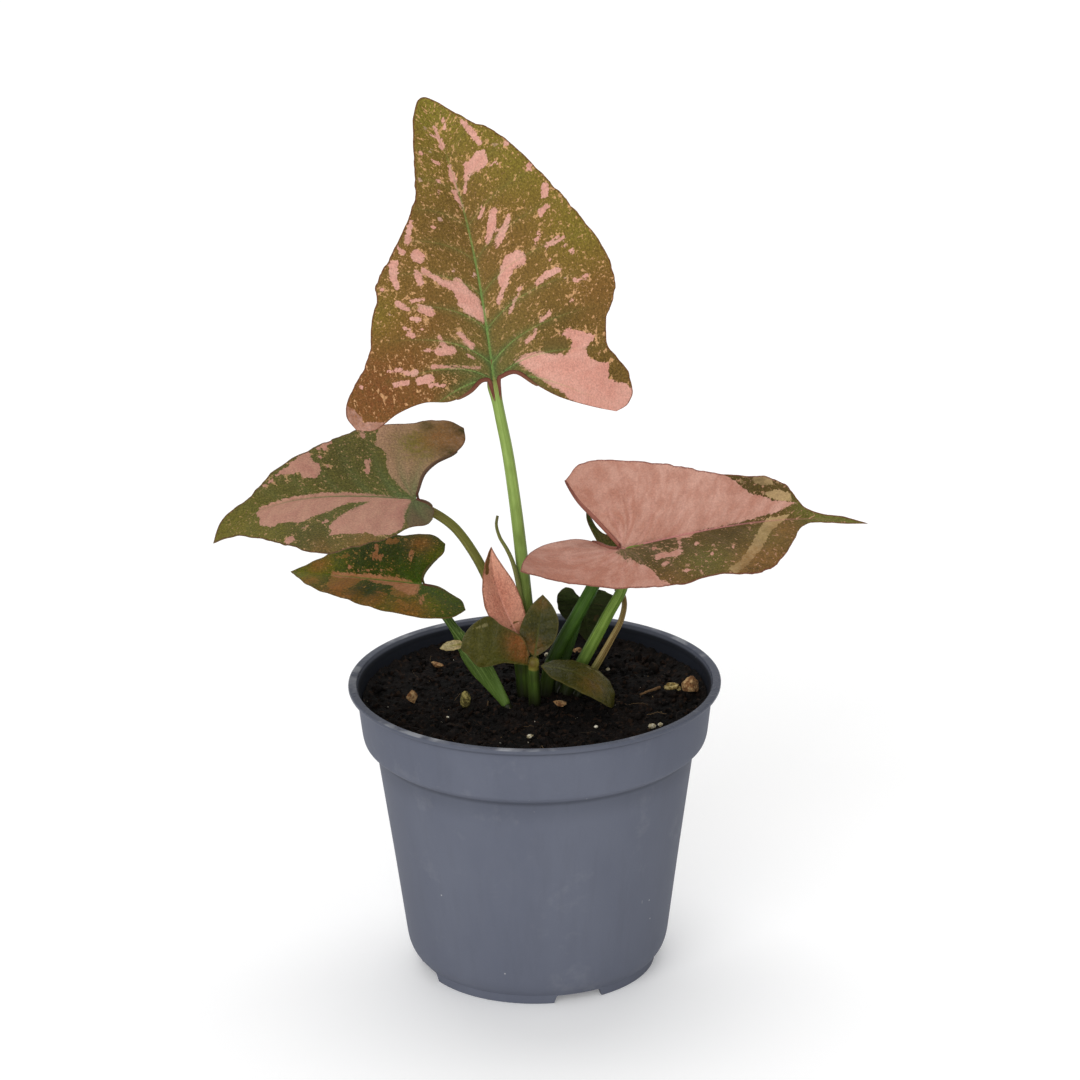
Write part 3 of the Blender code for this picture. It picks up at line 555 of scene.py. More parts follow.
@dataclass(frozen=True)
class LeafFinish(Finish):
    """The finish of a blade.

    ground is its main colour, fresh, warm and deep the tones it drifts to, and pink, cream and
    dark its crisp markings, where it has them; blush is what the pink drifts to, and fleck the
    pale specks on the ground. leafgreen spreads from the veins, flush being how much of it,
    lines is how strongly the side veins show, and collar is the blade's skin where it joins the
    stalk. speckle is the share of the ground that holds specks, jag how ragged the markings'
    edges are, network how strongly the fine veins show, and grit how much the skin's fine grain
    lightens and darkens it.
    """

    ground: Colour
    fresh: Colour
    warm: Colour
    deep: Colour
    vein: Colour
    edge: Colour
    back: Colour
    fleck: Colour
    pink: Colour = (180, 140, 120)
    cream: Colour = (180, 140, 120)
    dark: Colour = (64, 60, 24)
    blush: Colour = (150, 110, 90)
    leafgreen: Colour = (74, 104, 44)
    collar: Colour = (84, 38, 34)
    flush: float = 0.7
    lines: float = 0.25
    speckle: float = 0.3
    jag: float = 0.8
    network: float = 0.5
    grit: float = 0.7
    roughness: float = 0.50
    gloss: float = 0.06

    def material(self, name: str) -> bpy.types.Material:
        """The blade's material, painted from the values stored on its mesh.

        Args:
            name: the material's name.

        Returns:
            The material.
        """
        g = Graph(name, Specular_IOR_Level=self.gloss)
        flat, course = g.vector("flat"), g.vector("course")
        streak = g.stretch(course, (1.0, 0.45, 1.0))
        fine = g.noise(flat, 15.0, 3.0, 0.75)
        grain = fine.step(0.30, 0.70)
        mottle = g.noise(flat, 6.0, 4.0, 0.62)
        broad = g.noise(flat, 1.5, 2.0)
        ragged = ((g.noise(streak, 8.0, 3.0, 0.62) - 0.5) * 4.2 + (fine - 0.5) * 1.6) * self.jag
        fresh, warm, deep = g.parts(g.vector("tones"))
        pink, cream, dark = (depth + ragged for depth in g.parts(g.vector("marks")))

        patch = (mottle - 0.5) * 1.6 + (broad - 0.5) * 0.8 + (grain - 0.5) * 0.35
        colour = g.mix((fresh + patch * (0.15 + fresh * 0.5)).clip(), self.ground, self.fresh)
        colour = g.mix((warm + patch * (0.08 + warm * 0.7)).clip(), colour, self.warm)
        colour = g.mix((deep - patch * (0.25 + deep * 0.5)).clip(), colour, self.deep)

        near = pink.step(-2.5, 0.2) * 0.05 + (broad - 0.5) * 0.2 + self.speckle * 0.2
        freckle = g.noise(g.stretch(course, (1.0, 0.8, 1.0)), 7.0, 3.0, 0.6) + near
        dust = g.noise(flat, 17.0, 2.0, 0.6) + near
        away, pick = g.cells(flat, 8.0)
        dots = (away + (fine - 0.5) * 0.5).step(0.26, 0.14) * (pick + near).step(0.80, 0.84)
        specks = freckle.step(0.66, 0.70) * 0.75 + dust.step(0.68, 0.73) * 0.45 + dots * 0.8
        colour = g.mix(specks.clip(), colour, self.fleck)

        shade = g.noise(streak, 3.0, 3.0, 0.6).step(0.34, 0.66)
        faded = g.mix(shade * 0.5, self.cream, g.shade(self.cream, 0.74))
        for tone, tint in ((fresh, self.fresh), (warm, self.warm), (deep, self.deep)):
            faded = g.mix((tone * (patch * 1.5 + 0.9)).clip(), faded, tint)
        colour = g.mix(cream.step(-0.12, 0.12) * 0.94, colour, faded)
        painted = pink.step(-0.12, 0.12)
        pitted = g.noise(flat, 14.0, 2.0).step(0.64, 0.76) * pink.step(3.0, 0.3)
        colour = g.mix(painted * (0.97 - pitted * 0.6), colour,
                       g.mix((shade * 0.6 + deep * 0.7).clip(), self.pink, self.blush))
        colour = g.mix(dark.step(-0.12, 0.12) * 0.94, colour, self.dark)

        phase, gap = g.value("phase"), g.value("gap")
        line = (phase - phase.maths("ROUND")).maths("ABSOLUTE") * gap
        strength, rib, core = g.value("strength"), g.value("rib"), g.value("core")
        halo = line.step(2.8, 0.2) * strength * 0.5 + strength ** 3.0 * 0.85 + rib * 0.4
        colour = g.mix((halo * pink.step(1.2, -0.4)).clip() * self.flush, colour, self.leafgreen)
        vein = line.step(0.36, 0.05) * strength ** 1.6 * (grain * 0.5 + 0.7)
        colour = g.mix((vein * self.lines + core).clip(), colour, self.vein)
        netting = g.net(flat, 5.2).step(0.07, 0.0)
        colour = g.mix(netting * self.network * 0.3, colour, g.shade(colour, 1.4))
        edge = g.value("edge")
        colour = g.mix((edge + (fine - 0.5) * 1.2).step(0.72, 0.12) * 0.8, colour, self.edge)
        colour = g.mix(g.value("collar"), colour, self.collar)
        under = g.value("under")
        below = g.mix(0.45, colour, self.back)
        below = g.mix((line.step(0.6, 0.12) * 0.5 + core * 0.9).clip(), below, self.vein)
        colour = g.mix(under, colour, below)
        swing = self.grit * (1.0 - painted * 0.5 - under * 0.4)
        colour = g.shade(colour, 1.0 + (grain - 0.5) * swing + (mottle - 0.5) * 0.3)

        cells = g.cells(flat, 11.0)[0]
        relief = fine * 0.5 + cells * 0.45 + mottle * 0.3 - netting * 0.2
        rough = self.roughness + (mottle - 0.5) * 0.2 + under * 0.1 + (grain - 0.5) * 0.1
        return g.finish(colour, rough, g.bump(relief, 0.00024))


@dataclass(frozen=True)
class Leaf:
    """One leaf blade.

    The blade is drawn flat, x forward along the midrib from the point where the stalk meets it
    and y to the leaf's left. It is then stood up by heading, pitch and roll, and bent: droop
    turns the midrib down towards the tip, lobe_rise lifts the basal lobes, sweep turns it to the
    left and twist turns it about itself. fold is the rise of each half at the midrib and curl
    the turn that brings its margin down again, as (left, right) at the lobes, at mid-blade and
    at the tip. ruffle and quilt are the heights of the waves along its margin and of the swells
    between its side veins. pink, cream and dark are its markings, and fresh, warm and deep the
    washes (x, y, radius, amount) of its tones. On the right leaf one cream field is a painted
    highlight and two deep washes are painted shade.
    """

    name: str
    slot: str
    finish: LeafFinish
    base: tuple[float, float, float]
    heading: float
    pitch: float
    roll: float
    length: float
    lobe: float
    width: float
    fold: tuple
    curl: tuple
    left: tuple[Flat, ...]
    right: tuple[Flat, ...]
    left_sinus: tuple[Flat, ...] = ()
    right_sinus: tuple[Flat, ...] = ()
    droop: float = 0.0
    droop_power: float = 2.0
    lobe_rise: float = 0.0
    sweep: float = 0.0
    twist: tuple[float, float] = (0.0, 0.0)
    rows: int = 90
    columns: int = 36
    sheet: float = 0.45
    rib_height: float = 0.9
    rib_width: float = 0.8
    veins: float = 9.0
    ruffle: float = 0.5
    quilt: float = 0.18
    collar: float = 1.0
    pink: Marks = Marks()
    cream: Marks = Marks()
    dark: Marks = Marks()
    fresh: tuple[Wash, ...] = ()
    warm: tuple[Wash, ...] = ()
    deep: tuple[Wash, ...] = ()

    def axes(self) -> tuple[np.ndarray, np.ndarray, np.ndarray]:
        """The blade's forward, left and upward directions where the stalk meets it.

        Returns:
            The three directions, each of length 1.
        """
        heading, pitch, bank = (math.radians(a) for a in (self.heading, self.pitch, self.roll))
        forward = np.array([math.cos(heading) * math.cos(pitch),
                            math.sin(heading) * math.cos(pitch), math.sin(pitch)])
        side = np.array([-math.sin(heading), math.cos(heading), 0.0])
        up = np.cross(forward, side)
        return (forward, side * math.cos(bank) + up * math.sin(bank),
                up * math.cos(bank) - side * math.sin(bank))

    def midrib(self) -> tuple[np.ndarray, ...]:
        """Stations along the bent midrib: x, centre, left and upward directions.

        Returns:
            The four tables, with a row for each station.
        """
        forward, side, up = self.axes()
        xs = np.linspace(-REAR_REACH * self.lobe, FRONT_REACH * self.length, STATIONS)
        ahead = np.clip(xs / self.length, 0.0, None)
        behind = np.clip(-xs / self.lobe, 0.0, None)
        droop = np.radians(self.droop) * ahead ** self.droop_power
        droop += np.radians(self.lobe_rise) * behind ** 2
        sweep = np.radians(self.sweep) * ahead ** 2
        twist = np.radians(self.twist[1]) * ahead + np.radians(self.twist[0]) * behind
        swept = np.outer(np.cos(sweep), forward) + np.outer(np.sin(sweep), side)
        sides = np.outer(np.cos(sweep), side) - np.outer(np.sin(sweep), forward)
        tangents = swept * np.cos(droop)[:, None] - np.outer(np.sin(droop), up)
        ups = np.outer(np.cos(droop), up) + swept * np.sin(droop)[:, None]
        lefts = sides * np.cos(twist)[:, None] + ups * np.sin(twist)[:, None]
        ups = ups * np.cos(twist)[:, None] - sides * np.sin(twist)[:, None]
        steps = 0.5 * (tangents[1:] + tangents[:-1]) * (xs[1] - xs[0])
        centres = np.vstack([np.zeros(3), np.cumsum(steps, axis=0)])
        start = np.array([np.interp(0.0, xs, centres[:, k]) for k in range(3)])
        return xs, centres - start + np.array(self.base), lefts, ups

    def station(self, table: tuple, xs: np.ndarray, column: int) -> np.ndarray:
        """A table's value along the blade, eased between its three stations.

        Args:
            table: (left, right) at the lobes, at mid-blade and at the tip.
            xs: places along the midrib.
            column: 0 for the left half, 1 for the right.

        Returns:
            The value at each place.
        """
        lobe, middle, tip = (row[column] for row in table)
        centre = MID_BLADE * self.length
        rear = lobe + (middle - lobe) * eased((xs + self.lobe) / (centre + self.lobe))
        front = middle + (tip - middle) * eased((xs - centre) / (self.length - centre))
        return np.where(xs < centre, rear, front)

    def bend(self, flat: np.ndarray, side: int) -> np.ndarray:
        """Places in space of flat points on one half.

        Args:
            flat: points (x, y).
            side: 1 for the left half, -1 for the right.

        Returns:
            The points' places, in mm from the pot's axis.
        """
        xs, centres, lefts, ups = self.midrib()
        x, reach = flat[:, 0], side * flat[:, 1]
        column = 0 if side > 0 else 1
        fold = np.radians(self.station(self.fold, x, column))
        curl = np.radians(self.station(self.curl, x, column)) / self.width
        curl = np.where(np.abs(curl) < 1e-6, 1e-6, curl)
        across = (np.sin(fold) - np.sin(fold - curl * reach)) / curl
        rise = (np.cos(fold - curl * reach) - np.cos(fold)) / curl
        centre, left, up = (np.stack([np.interp(x, xs, t[:, k]) for k in range(3)], axis=1)
                            for t in (centres, lefts, ups))
        return centre + left * (side * across)[:, None] + up * rise[:, None]

    def edges(self, side: int) -> tuple[np.ndarray, np.ndarray, int]:
        """One half's edges.

        Args:
            side: 1 for the left half, -1 for the right.

        Returns:
            Its inner edge, its margin, and how many rows lie along the midrib.
        """
        margin = self.left if side > 0 else self.right
        sinus = self.left_sinus if side > 0 else self.right_sinus
        count = self.rows + 1
        outer = smooth_line(margin, count)
        run = np.linspace(0.0, 1.0, count)
        normal = np.gradient(outer, axis=0)[:, ::-1] * (1.0, -1.0)
        around = run * travelled(outer)[-1]
        wobble = sum(high * np.sin(around * rate + shift * side)
                     for high, rate, shift in WOBBLES)
        steady, swing, rate = WOBBLE_DRIFT
        wobble *= steady + swing * np.sin(around * rate + 2.0 * side)
        wobble *= min(1.0, (self.width / FULL_WOBBLE) ** 1.5) * np.sin(math.pi * run) ** 0.5
        outer += unit(normal) * wobble[:, None]
        back = int(round(SINUS_SHARE * self.rows)) if sinus else 0
        ahead = count - back
        inner = np.zeros((count, 2))
        inner[:ahead, 0] = np.linspace(margin[0][0], 0.0, ahead)
        if sinus:
            inner[ahead - 1:] = smooth_line(((0.0, 0.0), *sinus[::-1], margin[-1]), back + 1)
        return inner, outer, ahead

    def courses(self, flat: np.ndarray, side: int) -> dict[str, np.ndarray]:
        """How the side veins run: in swept rows ahead of the stalk, in a fan behind it.

        Args:
            flat: points (x, y).
            side: 1 for the left half, -1 for the right.

        Returns:
            How far each point lies across and along the veins, their count there, the gap
            between them and how strong they are.
        """
        x, reach = flat[:, 0], np.abs(side * flat[:, 1])
        straight = x - VEIN_SWING * self.length * (1.0 - np.exp(-reach / (VEIN_BEND
                                                                          * self.length)))
        spacing = self.length / self.veins
        angle = np.clip(np.arctan2(reach, np.minimum(straight, 0.0)) - 0.5 * math.pi, 0.0, None)
        radius = np.hypot(straight, reach)
        ahead = straight >= 0.0
        across = np.where(ahead, straight, -FAN_RADIUS * angle)
        along = np.where(ahead, reach, radius)
        phase = np.where(ahead, straight / spacing, -angle / FAN_TURN)
        blend = eased((straight + FAN_BLEND) / (2.0 * FAN_BLEND))
        gap = spacing * blend + np.maximum(radius * FAN_TURN, 1.0) * (1.0 - blend)
        reached = np.hypot(x, reach) / self.length
        strength = np.exp(-VEIN_FADE * reached) * eased(VEIN_END - reach / self.width)
        return {"across": across, "along": along, "phase": phase + 0.5, "gap": gap,
                "strength": strength}

    def relief(self, flat: np.ndarray, side: int, course: dict) -> np.ndarray:
        """How far points stand above the plain blade: waves, swells and sunken veins.

        Args:
            flat: points (x, y).
            side: 1 for the left half, -1 for the right.
            course: how the side veins run there.

        Returns:
            A height in mm for each.
        """
        x, reach = flat[:, 0], np.abs(flat[:, 1])
        out = reach / self.width
        shift = 1.7 * side + 0.1 * self.length
        wave = sum(high * np.sin(x * TAU / long + turn * shift) for long, high, turn in RUFFLES)
        swell = -np.cos(course["phase"] * TAU) * eased(out * 4.0) * eased(1.4 - out)
        furrow = np.exp(-(vein_distance(course) / FURROW_WIDTH) ** 2) * course["strength"]
        groove = np.exp(-(reach / GROOVE_WIDTH) ** 2) * (x > 0.0) * eased(1.0 - x / self.length)
        return (self.ruffle * wave * np.clip(out, 0.0, 1.2) ** 2 + self.quilt * swell
                - FURROW_DEPTH * furrow - GROOVE_SHARE * self.rib_height * groove)

    def thickness(self, flat: np.ndarray, course: dict) -> np.ndarray:
        """The blade's thickness, with the ribs that stand out underneath.

        Args:
            flat: points (x, y).
            course: how the side veins run there.

        Returns:
            A thickness in mm for each.
        """
        x, reach = flat[:, 0], np.abs(flat[:, 1])
        taper = np.clip(1.0 - x / self.length, 0.0, 1.0) ** 0.8 * eased(1.0 + x / 3.0)
        rib = self.rib_height * taper * np.exp(-(reach / self.rib_width) ** 2)
        return (self.sheet + rib + SIDE_RIB_SHARE * self.rib_height * course["strength"]
                * np.exp(-(vein_distance(course) / SIDE_RIB_WIDTH) ** 2))

    def half(self, side: int) -> dict:
        """One half of the blade, on a grid whose rows run from the tip to the lobe.

        Args:
            side: 1 for the left half, -1 for the right.

        Returns:
            Its flat points, its middle surface and that surface's normal, how far it is lifted
            and how thick it is, how its veins run and how far each point is from the edge.
        """
        inner, outer, ahead = self.edges(side)
        share = np.linspace(0.0, 1.0, self.columns + 1) ** COLUMN_POWER
        grid = inner[:, None] * (1.0 - share)[:, None] + outer[:, None] * share[:, None]
        size = grid.shape[:2]
        flat = grid.reshape(-1, 2)
        middle = self.bend(flat, side).reshape(*size, 3)
        normal = unit(np.cross(np.gradient(middle, axis=0), np.gradient(middle, axis=1)))
        normal[0], normal[-1] = normal[2], normal[-3]
        normal[1] = normal[2]
        if float((normal.reshape(-1, 3) @ self.axes()[2]).mean()) < 0.0:
            normal = -normal
        course = self.courses(flat, side)
        row = np.arange(size[0])[:, None]
        rim = np.minimum(np.linalg.norm(grid - outer[:, None], axis=2),
                         np.where(row < ahead, FAR,
                                  np.linalg.norm(grid - inner[:, None], axis=2)))
        taper = EDGE_SHARE + (1.0 - EDGE_SHARE) * eased(rim / EDGE_REACH)
        deep = self.thickness(flat, course).reshape(size) * taper
        lift = self.relief(flat, side, course).reshape(size) * eased(row / TIP_ROWS)
        joint = np.hypot(grid[..., 0], grid[..., 1])
        lift += 0.5 * self.collar * np.exp(-(rim / 0.7) ** 2 - (joint / 5.0) ** 2)
        return {"flat": flat, "side": side, "middle": middle, "normal": normal, "lift": lift,
                "deep": deep, "taper": taper, "edge": rim.ravel(), "course": course,
                "ahead": ahead}

    def build(self) -> bpy.types.Object:
        """Make the blade: two bent halves that meet on the midrib, over and under.

        Returns:
            The blade's object.
        """
        halves = [self.half(1), self.half(-1)]
        ahead = halves[0]["ahead"]
        meet = unit(halves[0]["normal"][:ahead, 0] + halves[1]["normal"][:ahead, 0])
        for half in halves:
            half["normal"][:ahead, 0] = meet
        shape = Shape()
        size = (self.rows + 1, self.columns + 1)
        each = size[0] * size[1]
        index = np.arange(4 * each).reshape(2, 2, *size)
        for number in (0, 1):
            for face in (0, 1):
                index[number, face, 0] = index[0, face, 0, 0]
                index[number, face, -1] = index[number, face, -1, 0]
        index[1, :, :ahead, 0] = index[0, :, :ahead, 0]
        for half in halves:
            for face in (0, 1):
                raised = half["lift"] + 0.5 * self.sheet * half["taper"] - face * half["deep"]
                places = half["middle"] + half["normal"] * raised[..., None]
                shape.add(places.reshape(-1, 3), (), **self.stored(half, face))
        shape.faces = self.faces(index, ahead)
        skin = self.finish.material(self.name + "_finish")
        obj = shape.build(self.name + "_blade", skin, sharp=62.0)
        tidy(obj)
        return obj

    def stored(self, half: dict, face: int) -> dict[str, np.ndarray]:
        """The values that the finish reads.

        Args:
            half: one half of the blade.
            face: 0 for its upper face, 1 for its under one.

        Returns:
            A table for each value, by name.
        """
        flat, course = half["flat"], half["course"]
        x, reach = flat[:, 0], np.abs(flat[:, 1])
        marks = [kind.depth(flat) for kind in (self.pink, self.cream, self.dark)]
        tones = [self.tone(flat, washes) for washes in (self.fresh, self.warm, self.deep)]
        begun, gone = x > -0.5, x / (RIB_SHARE * self.length)
        rib = np.exp(-(reach / RIB_BLUSH) ** 2) * begun * eased(1.0 - gone)
        core = np.exp(-(reach / RIB_CORE) ** 2) * begun * eased(1.3 - gone)
        joint = np.hypot(x + 0.5, flat[:, 1])
        collar = self.collar * np.clip(1.3 * np.exp(-(joint / COLLAR_REACH) ** 2)
                                       * eased(1.25 - half["edge"] / 1.3), 0.0, 0.9)
        shift = np.full(len(flat), half["side"] * 3.0 + self.length)
        return {"flat": np.stack([x / 10.0, flat[:, 1] / 10.0, shift], axis=1),
                "course": np.stack([course["across"] / 10.0, course["along"] / 10.0, shift],
                                   axis=1),
                "phase": course["phase"], "gap": course["gap"], "strength": course["strength"],
                "rib": rib, "core": core, "collar": collar, "edge": half["edge"],
                "under": np.full(len(flat), float(face)),
                "marks": np.stack(marks, axis=1), "tones": np.stack(tones, axis=1)}

    @staticmethod
    def tone(flat: np.ndarray, washes: Sequence[Wash]) -> np.ndarray:
        """How strong a tone is at points.

        Args:
            flat: points (x, y).
            washes: where it lies, as (x, y, radius, amount).

        Returns:
            A share from 0 to 1 for each.
        """
        clear = np.ones(len(flat))
        for x, y, radius, amount in washes:
            away = np.hypot(flat[:, 0] - x, flat[:, 1] - y) / radius
            clear *= 1.0 - amount * np.exp(-away ** 2)
        return 1.0 - clear

    def faces(self, index: np.ndarray, ahead: int) -> list[tuple[int, ...]]:
        """The faces of both halves, over and under, and of the margin between them.

        Args:
            index: the vertex number by half, face, row and column.
            ahead: how many rows lie along the midrib.

        Returns:
            The faces, without any that are only a line.
        """
        found = []
        for number in (0, 1):
            for face in (0, 1):
                grid = index[number, face]
                quads = np.stack([grid[:-1, :-1], grid[:-1, 1:], grid[1:, 1:], grid[1:, :-1]],
                                 axis=-1).reshape(-1, 4)
                if (number + face) % 2 == 0:
                    quads = quads[:, ::-1]
                found += quads.tolist()
            over, under = index[number]
            outer = np.stack([over[:-1, -1], over[1:, -1], under[1:, -1], under[:-1, -1]], axis=-1)
            inner = np.stack([over[ahead - 1:-1, 0], over[ahead:, 0], under[ahead:, 0],
                              under[ahead - 1:-1, 0]], axis=-1)
            if number == 0:
                outer = outer[:, ::-1]
            else:
                inner = inner[:, ::-1]
            found += outer.tolist() + inner.tolist()
        clean = []
        for quad in found:
            corners = [i for k, i in enumerate(quad) if i != quad[k - 1]]
            if len(corners) > 2:
                clean.append(tuple(corners))
        return clean


def vein_distance(course: dict) -> np.ndarray:
    """How far each point lies from its nearest side vein, in mm."""
    return np.abs(course["phase"] - np.round(course["phase"])) * course["gap"]


FAR = 99.0                  # a distance past every edge, mm
REAR_REACH = 1.25           # how far a midrib's bend is worked out behind, in lobe lengths
FRONT_REACH = 1.02          # and ahead, in blade lengths
STATIONS = 200
MID_BLADE = 0.35            # where a table's middle station lies, as a share of the blade
SINUS_SHARE = 0.26          # share of a half's rows that run along its sinus
COLUMN_POWER = 1.3          # above 1, columns are closer together near the midrib
WOBBLES = ((0.22, 0.83, 1.0), (0.12, 1.7, 0.0), (0.05, 3.7, 0.0))  # a margin's: mm, rate, shift
WOBBLE_DRIFT = (0.6, 0.4, 0.19)     # how they swell and fade: steady share, swing, rate
FULL_WOBBLE = 34.0          # half-width from which they're full, mm
VEIN_SWING = 0.15           # how far forward side veins sweep, as a share of the blade
VEIN_BEND = 0.14            # and over how much of it they do
VEIN_FADE = 2.2             # how fast they fade away from the stalk
VEIN_END = 1.15             # where they end, in half-widths
FAN_RADIUS = 20.0           # mm of streak per radian round the stalk's end
FAN_TURN = math.radians(24.0)
FAN_BLEND = 4.0             # mm over which the fan passes into the rows
RUFFLES = ((23.0, 1.0, 1.0), (10.5, 0.6, 2.0))  # the margin's waves: mm long, height, shift
FURROW_WIDTH, FURROW_DEPTH = 0.6, 0.12          # the sunken side veins, mm
GROOVE_WIDTH, GROOVE_SHARE = 0.7, 0.3           # the sunken midrib: mm, share of the rib
SIDE_RIB_WIDTH, SIDE_RIB_SHARE = 0.45, 0.3      # the side veins' ribs underneath
EDGE_SHARE = 0.4            # how thick the edge is, as a share of the blade
EDGE_REACH = 1.2            # mm over which it thins
TIP_ROWS = 6.0              # rows over which the relief starts at the tip
RIB_SHARE = 0.75            # share of the midrib that shows green
RIB_BLUSH, RIB_CORE = 1.3, 0.32     # half-widths of the green beside the midrib and of itself
COLLAR_REACH = 7.0          # how far the collar's colour reaches, mm


def tidy(obj: bpy.types.Object) -> None:
    """Drop loose vertices and turn all faces outward.

    Args:
        obj: the mesh object.
    """
    bm = bmesh.new()
    bm.from_mesh(obj.data)
    bmesh.ops.delete(bm, geom=[v for v in bm.verts if not v.link_faces], context="VERTS")
    bmesh.ops.recalc_face_normals(bm, faces=bm.faces)
    bm.to_mesh(obj.data)
    bm.free()


OLIVE_PINK = LeafFinish(
    ground=(120, 92, 46), fresh=(122, 112, 42), warm=(120, 75, 42), deep=(86, 70, 32),
    pink=(216, 163, 147), cream=(220, 172, 156), dark=(106, 84, 44), vein=(126, 156, 84),
    edge=(108, 64, 46), back=(148, 146, 108), blush=(204, 142, 126), fleck=(206, 158, 112),
    leafgreen=(88, 98, 54), flush=1.0, lines=0.8, speckle=0.30, jag=0.7)
DARK_PINK = LeafFinish(
    ground=(88, 84, 40), fresh=(106, 98, 40), warm=(132, 92, 54), deep=(60, 54, 24),
    pink=(178, 134, 114), cream=(168, 130, 104), dark=(98, 80, 58), vein=(112, 120, 78),
    edge=(92, 60, 46), back=(134, 132, 100), blush=(164, 114, 100), fleck=(170, 134, 96),
    leafgreen=(82, 98, 58), speckle=0.22, jag=0.6)
DEEP_GREEN = LeafFinish(
    ground=(56, 66, 6), fresh=(98, 102, 18), warm=(138, 88, 34), deep=(36, 46, 8),
    pink=(178, 124, 88), cream=(150, 102, 50), vein=(92, 126, 50), edge=(96, 70, 36),
    back=(116, 126, 78), blush=(148, 96, 54), fleck=(158, 118, 62), leafgreen=(58, 82, 16),
    lines=0.15, speckle=0.22, jag=0.95, roughness=0.42)
DUSTY_PINK = LeafFinish(
    ground=(87, 70, 34), fresh=(100, 102, 46), warm=(126, 90, 48), deep=(68, 56, 28),
    pink=(196, 150, 134), cream=(186, 156, 112), vein=(190, 126, 122), edge=(112, 60, 50),
    back=(146, 142, 104), blush=(168, 114, 96), fleck=(176, 132, 104), leafgreen=(112, 100, 72),
    flush=0.4, speckle=0.22, jag=0.55, grit=0.45)
SALMON = LeafFinish(
    ground=(208, 150, 127), fresh=(132, 104, 52), warm=(128, 78, 40), deep=(168, 100, 80),
    dark=(84, 60, 24), vein=(206, 146, 128), edge=(120, 74, 50), back=(186, 140, 112),
    fleck=(214, 162, 138), flush=0.1, speckle=0.06, jag=0.25, grit=0.4)
CLEAR_OLIVE = LeafFinish(
    ground=(62, 60, 16), fresh=(82, 80, 32), warm=(126, 76, 36), deep=(42, 44, 12),
    cream=(120, 112, 72), vein=(78, 78, 30), edge=(80, 74, 34), back=(98, 98, 54),
    fleck=(96, 88, 40), leafgreen=(62, 68, 20), flush=0.2, lines=0.2, speckle=0.02, jag=0.4,
    network=0.2, grit=0.3, roughness=0.30, gloss=0.14)
DULL_GREEN = LeafFinish(
    ground=(56, 68, 24), fresh=(78, 92, 40), warm=(88, 62, 40), deep=(36, 42, 14),
    pink=(140, 104, 80), vein=(88, 106, 52), edge=(84, 70, 42), back=(104, 112, 76),
    blush=(120, 90, 60), fleck=(106, 100, 54), speckle=0.05, jag=0.5)
STRAW_LEAF = LeafFinish(
    ground=(198, 184, 142), fresh=(150, 146, 76), warm=(156, 130, 86), deep=(104, 84, 54),
    vein=(140, 134, 66), edge=(168, 150, 104), back=(170, 150, 108), fleck=(212, 198, 158),
    flush=0.1, speckle=0.0, jag=0.3, roughness=0.7)

